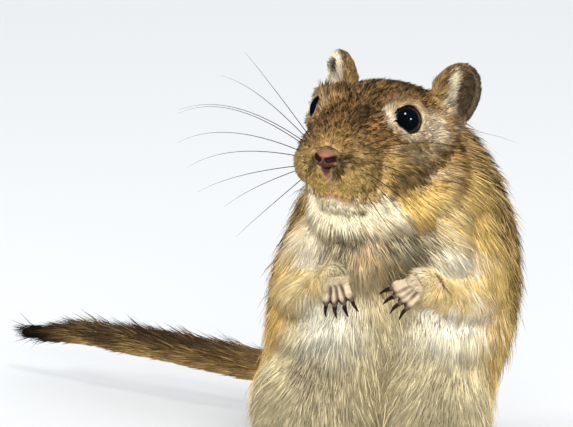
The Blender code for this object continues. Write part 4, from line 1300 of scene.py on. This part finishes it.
def grow(coat, name, density, count, seed, spec):
    """Grows wisps over part of the skin, in pieces that each stay under the size of one mesh."""
    draw = np.random.default_rng(seed)
    density = density * (1.0 - coat.open)
    faces, shares = coat.roots(count, density, draw)
    start = coat.at(coat.places, faces, shares)
    normals = unit(coat.at(coat.normals, faces, shares))
    fields = coat.at(coat.fields, faces, shares)
    first, last = wisp_lines(start, normals, fields, draw, spec)
    first, last, tuft = clumped(coat, density, (start, first, last), fields, seed + 1, spec)
    tones = draw.random((count, 2))
    tones[:, 0] = np.clip((tones[:, 0] * 0.4 + tuft[:, 0] * 0.6 - 0.5) * 1.35 + 0.5, 0, 1)
    tones[:, 1] = np.where(draw.random(count) < spec.get("apart", 0.5), tones[:, 1], tuft[:, 1])
    marks = mixed_marks(coat, faces, shares, start, tuft[:, 2:], spec.get("mix", 0.0))
    short = np.clip(fields[:, 3] / spec["full_length"], 0.35, 1.0)
    widths = spec["width"] * short**0.5 * draw.uniform(0.7, 1.3, count)
    start = start - normals * ROOT_DEPTH
    rings = spec["rings"]
    parts = max(1, math.ceil(count * WISP_TRIANGLES[rings] / PIECE_TRIANGLES))
    order = np.argsort(draw.random(count))
    made = []
    for i, picks in enumerate(np.array_split(order, parts)):
        piece = wisp_mesh(
            f"{name}_{i + 1}" if parts > 1 else name, coat, faces[picks], shares[picks],
            (start[picks], first[picks], last[picks]), widths[picks], rings, tones[picks],
            {mark: columns[picks] for mark, columns in marks.items()},
        )
        made.append(piece)
    return made


def mixed_marks(coat, faces, shares, start, shift, reach):
    """The marks of every wisp, tuft by tuft from a little way off, so that colours meet in streaks."""
    marks = {}
    moved = None
    if reach:
        thin = coat.at(coat.shares["ear"] + coat.shares["forepaw"], faces, shares)
        throat = coat.at(coat.shares["head"], faces, shares) * rise(-to_head(start)[:, 2], 14.5, 17.5)
        aim = start + shift * (reach * np.clip(1.0 - 3.0 * thin, 0, 1) * (1.0 + 2.0 * throat))[:, None]
        moved = nearest(coat.places, aim)
    for mark in ("marks", "more_marks"):
        columns = np.stack([coat.at(c, faces, shares) for c in coat.marks[mark]], 1)
        if moved is not None:
            columns = columns * 0.25 + np.stack([c[moved] for c in coat.marks[mark]], 1) * 0.75
        marks[mark] = columns
    return marks


def few(count):
    """How many wisps to grow out of a full count."""
    return int(count * (1.0))


def finish_coat(pieces, look):
    """Gives the pieces of a coat their material and body."""
    for piece in pieces:
        piece.data.materials.append(look)
        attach(piece, "root")


# ---------------------------------------------------------------- operators


class SkinOperator(bpy.types.Operator):
    """Builds the skin that carries the coat"""

    bl_idname = "gerbil.skin"
    bl_label = "Skin"

    def execute(self, context):
        skin = build_skin()
        STORE["coat"] = Coat(skin)
        STORE["coat"].store_marks()
        skin.data.materials.append(skin_look("skin"))
        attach(skin, "root")
        regions = [region for region in REGIONS if region not in ("forepaw", "foot")]
        joined = (name for region in regions for name in FLESH[region])
        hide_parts(*joined)
        return {"FINISHED"}


class BodyCoatOperator(bpy.types.Operator):
    """Grows the coat of the trunk, neck and legs"""

    bl_idname = "gerbil.body_coat"
    bl_label = "Body coat"

    def execute(self, context):
        settings = context.scene.gerbil_coat
        coat = STORE["coat"]
        s = coat.shares
        body = s["torso"] + s["neck"] + s["thigh"]
        body = body + 1.35 * s["foreleg"] + 1.3 * s["foot"] + 1.5 * s["forepaw"]
        look = coat_look("body_fur")
        width = settings.wisp_width / MM
        spec = {"stray": 0.15, "clump": 1.2, "width": width, "full_length": 6.0, "rings": 1, "mix": 1.3}
        pieces = grow(coat, "body_coat", body, few(settings.body_wisps), 11, spec)
        back = rise(trunk_angle(coat.places), 40.0, 75.0)
        long_part = (s["torso"] + s["neck"] + s["thigh"] + 0.7 * s["foreleg"]) * (0.3 + 1.2 * back)
        spec = {
            "stray": 0.18, "clump": 3.0, "width": width * 0.75, "full_length": 6.0, "rings": 3,
            "longer": 1.22, "raise": 7.0, "mix": 1.5,
        }
        pieces += grow(coat, "guard_hair", long_part, few(settings.guard_wisps), 23, spec)
        finish_coat(pieces, look)
        return {"FINISHED"}


class HeadCoatOperator(bpy.types.Operator):
    """Grows the short coat of the head and ears"""

    bl_idname = "gerbil.head_coat"
    bl_label = "Head coat"

    def execute(self, context):
        settings = context.scene.gerbil_coat
        coat = STORE["coat"]
        s = coat.shares
        muzzle = rise(-to_head(coat.places)[:, 1], -4.0, 8.0)
        density = s["head"] * (1.0 + 1.3 * muzzle) + 0.9 * s["ear"]
        spec = {
            "stray": 0.11, "clump": 0.85, "width": settings.wisp_width / MM, "full_length": 4.0, "rings": 1,
            "apart": 0.35, "mix": 0.5,
        }
        pieces = grow(coat, "head_coat", density, few(settings.face_wisps), 37, spec)
        finish_coat(pieces, coat_look("face_fur"))
        return {"FINISHED"}


class TailCoatOperator(bpy.types.Operator):
    """Grows the tail's coat, crest and brush"""

    bl_idname = "gerbil.tail_coat"
    bl_label = "Tail coat"

    def execute(self, context):
        settings = context.scene.gerbil_coat
        coat = STORE["coat"]
        share, middle, _ = along_tail(coat.places)
        up = unit(coat.places - middle)[:, 2]
        crest = rise(up, 0.0, 0.8)
        fuller = 1.0 + 2.2 * crest * rise(share, 0.1, 0.5) + 3.0 * rise(share, 0.80, 0.95)
        density = coat.shares["tail"] * fuller
        spec = {
            "stray": 0.09, "clump": 1.5, "width": settings.wisp_width / MM, "full_length": 5.0, "rings": 2,
            "mix": 0.6,
        }
        pieces = grow(coat, "tail_coat", density, few(settings.tail_wisps), 51, spec)
        finish_coat(pieces, coat_look("tail_fur"))
        return {"FINISHED"}


class PawsOperator(bpy.types.Operator):
    """Makes the paws and hind feet with the short hair on their backs"""

    bl_idname = "gerbil.paws"
    bl_label = "Paws"

    def execute(self, context):
        settings = context.scene.gerbil_coat
        fur = coat_look("paw_fur")
        skin = skin_look("paw_skin")
        for name in (*FLESH["forepaw"], *FLESH["foot"]):
            hand = name in FLESH["forepaw"]
            paw = even_copy(name, name + "_skin", FOREPAW_VOXEL if hand else FOOT_VOXEL)
            keep_outside(paw)
            if hand:
                apply_modifier(paw, "SMOOTH", factor=0.5, iterations=16)
            surface = Surface(paw)
            surface.relax(6, 1.0)
            if hand:
                normals = surface.normals()
                groove, ridge = self.digits(surface.places, name.split("_")[-1])
                push = 0.10 + (ridge * 0.18 - groove * 0.42) * self.front(normals)
                surface.places += normals * push[:, None]
                surface.relax(3, 1.0)
            surface.places[:, 2] = np.maximum(surface.places[:, 2], 0.0)
            surface.write()
            finish_mesh(paw, PAW_TRIANGLES)
            coat = Coat(paw)
            density = self.dress(coat, name)
            coat.store_marks()
            spec = {
                "stray": 0.12, "clump": 0.6, "width": 0.13, "full_length": 0.9, "rings": 1, "wander": 0.03,
            }
            count = few(settings.paw_wisps * (FOREPAW_SHARE if hand else 1.0))
            finish_coat(grow(coat, name + "_coat", density, count, 61, spec), fur)
            paw.data.materials.append(skin)
            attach(paw, "root")
            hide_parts(name)
        return {"FINISHED"}

    def front(self, normals):
        """1 where a surface faces the front and 0 where it faces the back."""
        return rise(-normals[:, 1], -0.35, 0.25)

    def claw_points(self, name):
        """The vertices of each claw of a paw or foot, in order across it."""
        claws = [n for n in sorted(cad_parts) if "claw" in n and name.split("_")[-1] in n]
        claws = [n for n in claws if ("fore" in n) == ("fore" in name)]
        return [read(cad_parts[n].data.vertices, "co", 3) / MM for n in claws]

    def digits(self, places, side):
        """Where the grooves between the digits of a forepaw run, and where their backs are highest."""
        wrist = np.array(WRISTS[side])
        bases = []
        for points in self.claw_points("forepaw_" + side):
            away = np.linalg.norm(points - wrist, axis=1)
            bases.append(points[away < np.quantile(away, 0.25)].mean(0))
        bases = np.array(bases)
        middle = bases.mean(0)
        roots = wrist + (middle - wrist) * 0.15 + (bases - middle) * 0.5
        groove = np.zeros(len(places))
        ridge = np.zeros(len(places))
        t = np.linspace(0.0, 1.0, 24)[:, None]
        for i in range(len(bases)):
            line = roots[i] * (1 - t) + bases[i] * t
            ridge = np.maximum(ridge, 1.0 - rise(self.aside(places, line), 0.0, 0.75))
            if i:
                line = (roots[i] + roots[i - 1]) / 2 * (1 - t) + (bases[i] + bases[i - 1]) / 2 * t
                groove = np.maximum(groove, 1.0 - rise(self.aside(places, line), 0.20, 0.80))
        return groove, ridge

    def aside(self, places, line):
        """Distance from a line as seen from the front."""
        return near(places * (1, 0.25, 1), line * (1, 0.25, 1))

    def dress(self, coat, name):
        """Paints shade into the grooves between the digits and the hollows of a hind foot, marks the ends round
        the claws, and gives where hair grows.
        """
        surface = coat.surface
        points = np.vstack(self.claw_points(name))
        close = near(coat.places, points[:: max(1, len(points) // 60)])
        if "fore" in name:
            side = name.split("_")[-1]
            back = self.front(coat.normals)
            groove, _ = self.digits(coat.places, side)
            # painted shade in the grooves between the digits on the paw's back
            seam = groove * back * rise(np.linalg.norm(coat.places - WRISTS[side], axis=1), 0.9, 2.2)
            ends = 1.0 - rise(close, 0.8, 2.1)
        else:
            back = rise(coat.normals[:, 2], -0.5, 0.1)
            # painted shade where the foot's surface lies in a hollow
            hollow = ((surface.blur(coat.places, 14) - coat.places) * coat.normals).sum(1)
            low, high = np.percentile(hollow, (55, 93))
            seam = rise(hollow, max(low, 0.005), high)
            ends = 1.0 - rise(close, 0.45, 1.35)
        seam = np.clip(np.maximum(seam, ends * 0.9), 0, 1)
        bare = np.clip(np.maximum(1.0 - back, seam), 0, 1)
        coat.marks["face_marks"] = (np.zeros_like(bare), 0.25 + 0.75 * bare, seam)
        # the hair over the seams is darkened too, as painted shade
        coat.marks["marks"][2][:] = np.maximum(coat.marks["marks"][2], 0.5 * seam)
        coat.open = np.clip(np.maximum(seam * 1.6, 1.0 - back), 0, 1)
        return np.ones_like(bare)


def eye_frame(side):
    """The centre of an eye and the frame whose Z looks out of it, in metres."""
    centre = Vector(EYE_PLACE * (side, 1, 1)) * MM
    outward = Vector((EYE_WAY[0] * side, EYE_WAY[1], EYE_WAY[2])).normalized()
    turn = outward.to_track_quat("Z", "Y").to_matrix().to_4x4()
    head = Matrix.Translation(Vector(HEAD_POINT) * MM) @ HEAD_TURN.to_4x4()
    return head @ Matrix.Translation(centre) @ turn


def settle(obj):
    """Puts an object's place and turn into its mesh."""
    select_only(obj)
    bpy.ops.object.transform_apply(location=True, rotation=True, scale=True)


class EyesOperator(bpy.types.Operator):
    """Makes the eyeballs and the lids round them"""

    bl_idname = "gerbil.eyes"
    bl_label = "Eyes"

    def execute(self, context):
        bare = context.scene.gerbil_bare
        dark = self.eye_look(bare)
        skin = self.lid_look(bare)
        fur = coat_look("lid_fur")
        for side, word in ((1, "left"), (-1, "right")):
            low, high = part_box("eye_" + word)
            radius = max(high - low) / 2
            bpy.ops.object.select_all(action="DESELECT")
            bpy.ops.mesh.primitive_uv_sphere_add(
                segments=64, ring_count=32, radius=radius, location=(low + high) / 2
            )
            ball = context.active_object
            ball.name = ball.data.name = "eyeball_" + word
            bpy.ops.object.shade_smooth()
            settle(ball)
            ball.data.materials.append(dark)
            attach(ball, "root")
            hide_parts("eye_" + word)
            lid, rim = self.lid(side, word, radius / MM)
            finish_coat(self.lid_coat(lid, rim, side, word), fur)
            lid.data.materials.append(skin)
            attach(lid, "root")
        return {"FINISHED"}

    def eye_look(self, bare):
        """Nearly black, with a painted bluish reflection in soft noisy patches."""
        look = Look("eye_dark", 0.04, 0.42)
        depth = look.noise(260.0, 1.0)
        # painted reflection: patches of blue where the noise is high
        look.colour(look.blend(depth.rise(0.3, 0.8), tuple(bare.eye), tone(8, 14, 26)))
        return look.material

    def lid_look(self, bare):
        """The coat's colour, with a dark bare edge."""
        look = Look("lid", 0.5)
        grain = look.noise(1500.0, 3.0)
        fleece = marked_colour(look, 0.35 + grain * 0.5, grain, grain)
        edge = look.attribute("rim")[0]
        look.colour(look.blend(edge, fleece, look.shade(tuple(bare.lid), 0.7 + grain * 0.6)))
        look.bump(grain, 0.08 * MM, 0.5)
        return look.material

    def lid_coat(self, lid, rim, side, word):
        """Short hair that lies away from the eye."""
        coat = Coat(lid)
        coat.store_marks()
        set_numbers(lid, "rim", rim)
        way = coat.places - np.array(eye_frame(side).translation) / MM
        outward = way - coat.normals * (way * coat.normals).sum(1, keepdims=True)
        coat.fields[:, :3] = unit(unit(coat.fields[:, :3]) * 0.5 + unit(outward))
        coat.fields[:, 3] = 1.1
        coat.fields[:, 4] = 16.0
        facing = (coat.normals * unit(way)).sum(1)
        coat.open = np.clip(np.maximum(rim, rise(-facing, -0.3, 0.1)), 0, 1)
        spec = {"stray": 0.15, "clump": 0.7, "width": 0.13, "full_length": 1.2, "rings": 1}
        return grow(coat, f"lid_{word}_coat", np.ones_like(rim), few(LID_WISPS), 71, spec)

    def lid(self, side, word, radius):
        """A soft collar round the opening, lower towards the nose than behind, with a dark edge."""
        frame = eye_frame(side)
        steps = 72
        rings, rim = [], []
        for share, height, dark in LID_ROWS:
            for i in range(steps):
                turn = 2 * math.pi * i / steps
                own = math.degrees(math.atan2(math.sin(turn), math.cos(turn) * side))
                opening = np.interp(own, *EYE_OPENING.T)
                if side < 0:
                    opening -= (opening - 32.0) * math.exp(-(((180.0 - abs(own)) / 95.0) ** 2))
                outer = max(72.0, opening + 6.0)
                tilt = math.radians(opening + (outer - opening) * share)
                if dark:
                    tilt = math.radians(opening + share * 18.0)
                flat = Vector((math.cos(turn), math.sin(turn), 0)) * math.sin(tilt)
                point = (flat + Vector((0, 0, math.cos(tilt)))) * (radius + height) * MM
                rings.append(np.array(frame @ point) / MM)
                rim.append(dark)
        faces = ring_faces(len(LID_ROWS), steps, closed=True)
        lid = mesh_object("lid_" + word, np.array(rings), np.array(faces))
        select_only(lid)
        bpy.ops.object.mode_set(mode="EDIT")
        bpy.ops.mesh.select_all(action="SELECT")
        bpy.ops.mesh.normals_make_consistent(inside=False)
        bpy.ops.object.mode_set(mode="OBJECT")
        unwrap(lid)
        return lid, np.array(rim)


class NoseOperator(bpy.types.Operator):
    """Makes the bare pad of the nose with its nostrils, and the short hair over its edge"""

    bl_idname = "gerbil.nose"
    bl_label = "Nose"

    def execute(self, context):
        pad = even_copy("nose", "nose_pad", NOSE_VOXEL)
        surface = Surface(pad)
        surface.relax(10, 1.0)
        surface.write()
        finish_mesh(pad)
        look = self.pad_look(context.scene.gerbil_bare)
        coat = Coat(pad)
        own = to_head(coat.places) - NOSE_PLACE
        own[:, 0] = np.abs(own[:, 0])
        steps = np.linspace(0, 2, 9)
        points = np.stack([np.interp(steps, range(3), column) for column in NOSTRIL_LINE.T], 1)
        cleft = spot(own, (0.0, -1.6, -1.6), (0.28, 2.0, 1.6), 0.5)
        hole = 1.0 - rise(near(own, points), 0.45, 0.90)
        below = rise(-own[:, 2], 0.4, 1.4)
        # painted shade: dark in the nostrils, in the cleft below them and over the pad's underside
        hollow = np.maximum(np.maximum(hole, 0.8 * cleft), 0.7 * below)
        set_numbers(pad, "hollow", hollow, rise(own[:, 2], 0.2, 1.4))
        outer = np.hypot(own[:, 0] / 2.3, (own[:, 2] - 0.1) / 1.6)
        coat.open = 1.0 - rise(outer, 0.84, 1.10) * rise(own[:, 2], -1.2, -0.5)
        coat.fields[:, 3] = 1.0
        coat.fields[:, 4] = 24.0
        spec = {"stray": 0.16, "clump": 0.6, "width": 0.14, "full_length": 1.0, "rings": 1}
        pieces = grow(coat, "nose_coat", np.ones(len(own)), few(NOSE_WISPS), 83, spec)
        finish_coat(pieces, coat_look("nose_fur"))
        pad.data.materials.append(look)
        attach(pad, "root")
        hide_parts("nose")
        return {"FINISHED"}

    def pad_look(self, bare):
        """Mottled skin whose lighter mottles are painted highlights, browner on top, with painted shade in the
        nostrils, in the cleft and under the pad.
        """
        look = Look("nose_skin", 0.55, 0.3)
        grain = look.noise(2600.0, 2.0)
        broad = look.noise(700.0, 1.0)
        hollow, crown, _, _ = look.attribute("hollow")
        # the lighter of the two browns, spread in noisy mottles, is painted highlight
        colour = look.blend(broad.rise(0.35, 0.7), tuple(bare.nose), tone(158, 98, 76))
        colour = look.blend(crown, colour, tone(120, 86, 60))
        # painted shade in the nostrils, the cleft and under the pad
        look.colour(look.blend(hollow, colour, tone(34, 14, 14)))
        look.bump(grain, 0.10 * MM, 0.7)
        return look.material


class ClawsOperator(bpy.types.Operator):
    """Rounds the claws and gives them their horn"""

    bl_idname = "gerbil.claws"
    bl_label = "Claws"

    def execute(self, context):
        bare = context.scene.gerbil_bare
        look = Look("claw_horn", 0.5, 0.15)
        streaks = look.noise(1400.0, 3.0)
        look.colour(look.blend(streaks.rise(0.45, 0.8), tuple(bare.claw), tone(70, 36, 26)))
        names = sorted(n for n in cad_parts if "claw" in n)
        for group in sorted({n.rsplit("_", 1)[0] for n in names}):
            members = [n for n in names if n.startswith(group)]
            copies = [flesh_copy(n, 0.08 * MM) for n in members]
            select_only(*copies)
            bpy.ops.object.join()
            claws = context.view_layer.objects.active
            claws.name = claws.data.name = group + "s"
            claws.data.materials.clear()
            apply_modifier(claws, "SUBSURF", levels=1, render_levels=1)
            select_only(claws)
            bpy.ops.object.shade_smooth()
            claws.data.materials.append(look.material)
            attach(claws, "root")
            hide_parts(*members)
        return {"FINISHED"}


class WhiskersOperator(bpy.types.Operator):
    """Sets the whiskers in the pads beside the nose"""

    bl_idname = "gerbil.whiskers"
    bl_label = "Whiskers"

    def execute(self, context):
        bare = context.scene.gerbil_bare
        coat = STORE["coat"]
        sides = 5
        steps = 16
        places, faces = [], []
        for root, end, sag in WHISKERS:
            found = coat.tree.find_nearest(Vector(from_head(root) * MM))
            start = np.array(found[0]) / MM - np.array(found[1]) * 0.3
            end = np.array(end)
            span = end - start
            bulge = np.array(found[1]) * np.linalg.norm(span) * 0.22 + (0, 0, sag * 1.6)
            t = np.linspace(0.0, 1.0, steps)[:, None]
            line = start * (1 - t) ** 2 + (start + span * 0.45 + bulge) * 2 * t * (1 - t) + end * t**2
            ways = unit(np.gradient(line, axis=0))
            across = unit(np.cross(ways, (0.2, 0.3, 1.0)))
            up = np.cross(across, ways)
            radius = bare.whisker_width / MM / 2 * (1.0 - 0.88 * t)
            base = len(places)
            for i in range(steps):
                for k in range(sides):
                    turn = 2 * math.pi * k / sides
                    offset = across[i] * math.cos(turn) + up[i] * math.sin(turn)
                    places.append(line[i] + offset * radius[i])
            for i in range(steps - 1):
                for k in range(sides):
                    a, b = base + i * sides + k, base + i * sides + (k + 1) % sides
                    faces += [(a, b, a + sides), (b, b + sides, a + sides)]
            last = base + (steps - 1) * sides
            faces += [(base, base + k + 1, base + k) for k in range(1, sides - 1)]
            faces += [(last, last + k, last + k + 1) for k in range(1, sides - 1)]
        whiskers = mesh_object("whiskers", np.array(places), np.array(faces))
        look = Look("whisker_hair", 0.65, 0.1)
        look.colour(look.shade(tuple(bare.whisker), 0.6 + look.noise(300.0, 1.0) * 0.8))
        whiskers.data.materials.append(look.material)
        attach(whiskers, "root")
        return {"FINISHED"}


class StageOperator(bpy.types.Operator):
    """Sets the floor, the lights and the camera"""

    bl_idname = "gerbil.stage"
    bl_label = "Stage"

    def execute(self, context):
        stage = context.scene.gerbil_stage
        self.floor(context, stage)
        self.lights(context, stage)
        self.camera(context, stage)
        context.scene.view_settings.view_transform = "Standard"
        return {"FINISHED"}

    def floor(self, context, stage):
        """A pale floor, painted a little darker near the animal, where the lamps light it most, and lighter far
        away, that the eyes don't mirror.
        """
        bpy.ops.object.select_all(action="DESELECT")
        bpy.ops.mesh.primitive_plane_add(size=stage.floor_side, location=(0, 0, -0.0002))
        floor = context.active_object
        floor.name = floor.data.name = "floor"
        settle(floor)
        look = Look("floor_paper", 0.9, 0.1)
        far = look.node("ShaderNodeSeparateXYZ", {}, {0: look.place()}, 1).rise(-0.1, 1.0)
        # painted shade: darker near the animal, where the lamps light the floor most, and lighter far away
        look.colour(look.shade(tuple(stage.floor), 0.84 + far * 0.06))
        floor.data.materials.append(look.material)
        floor.visible_glossy = False

    def lights(self, context, stage):
        """The light from all round and the lamps, of which the soft front one leaves no catch light."""
        world = bpy.data.worlds.new("studio")
        context.scene.world = world
        world.use_nodes = True
        ground = world.node_tree.nodes["Background"]
        ground.inputs["Color"].default_value = STUDIO_COLOUR
        ground.inputs["Strength"].default_value = stage.ambient
        world.cycles_visibility.glossy = False
        for name, (way, size, power, tint) in LIGHTS.items():
            light = bpy.data.lights.new(name, "AREA")
            light.shape = "SQUARE"
            light.size = size
            light.energy = getattr(stage, power)
            light.color = tint
            lamp = bpy.data.objects.new(name, light)
            context.scene.collection.objects.link(lamp)
            lamp.location = LIGHT_AIM + Vector(way) * LIGHT_DISTANCE
            lamp.rotation_euler = Vector(way).to_track_quat("Z", "Y").to_euler()
            lamp.visible_glossy = name != "front_light"

    def camera(self, context, stage):
        """The camera in front of the animal, a little above it."""
        camera = bpy.data.cameras.new("camera")
        camera.lens = stage.lens
        camera.sensor_width = 36.0
        camera.clip_start = 0.01
        camera.clip_end = 20.0
        eye = bpy.data.objects.new("camera", camera)
        context.scene.collection.objects.link(eye)
        axes = (CAMERA_RIGHT, CAMERA_BACK.cross(CAMERA_RIGHT), CAMERA_BACK)
        turn = Matrix(axes).transposed().to_4x4()
        eye.matrix_world = Matrix.Translation(Vector(stage.camera_place)) @ turn
        context.scene.camera = eye


class GerbilPanel(bpy.types.Panel):
    """Lists the stages of the model"""

    bl_idname = "VIEW3D_PT_gerbil"
    bl_label = "Gerbil"
    bl_space_type = "VIEW_3D"
    bl_region_type = "UI"
    bl_category = "Gerbil"

    def draw(self, context):
        for step in STEPS:
            self.layout.operator(step.bl_idname)
        for group in (context.scene.gerbil_coat, context.scene.gerbil_bare, context.scene.gerbil_stage):
            for name in group.bl_rna.properties.keys():
                if name not in ("rna_type", "name"):
                    self.layout.prop(group, name)


SETTINGS = {"gerbil_coat": CoatSettings, "gerbil_bare": BareSettings, "gerbil_stage": StageSettings}
STEPS = (
    SkinOperator, BodyCoatOperator, HeadCoatOperator, TailCoatOperator, PawsOperator,
    EyesOperator, NoseOperator, ClawsOperator, WhiskersOperator, StageOperator,
)
CLASSES = (*SETTINGS.values(), *STEPS, GerbilPanel)


def register():
    for cls in CLASSES:
        bpy.utils.register_class(cls)
    for name, group in SETTINGS.items():
        setattr(bpy.types.Scene, name, bpy.props.PointerProperty(type=group))


def unregister():
    for name in SETTINGS:
        delattr(bpy.types.Scene, name)
    for cls in reversed(CLASSES):
        bpy.utils.unregister_class(cls)


def main():
    """Builds every part in order."""
    register()
    bpy.ops.gerbil.skin()
    bpy.ops.gerbil.body_coat()
    bpy.ops.gerbil.head_coat()
    bpy.ops.gerbil.tail_coat()
    bpy.ops.gerbil.paws()
    bpy.ops.gerbil.eyes()
    bpy.ops.gerbil.nose()
    bpy.ops.gerbil.claws()
    bpy.ops.gerbil.whiskers()
    bpy.ops.gerbil.stage()


if __name__ == "__main__":
    main()
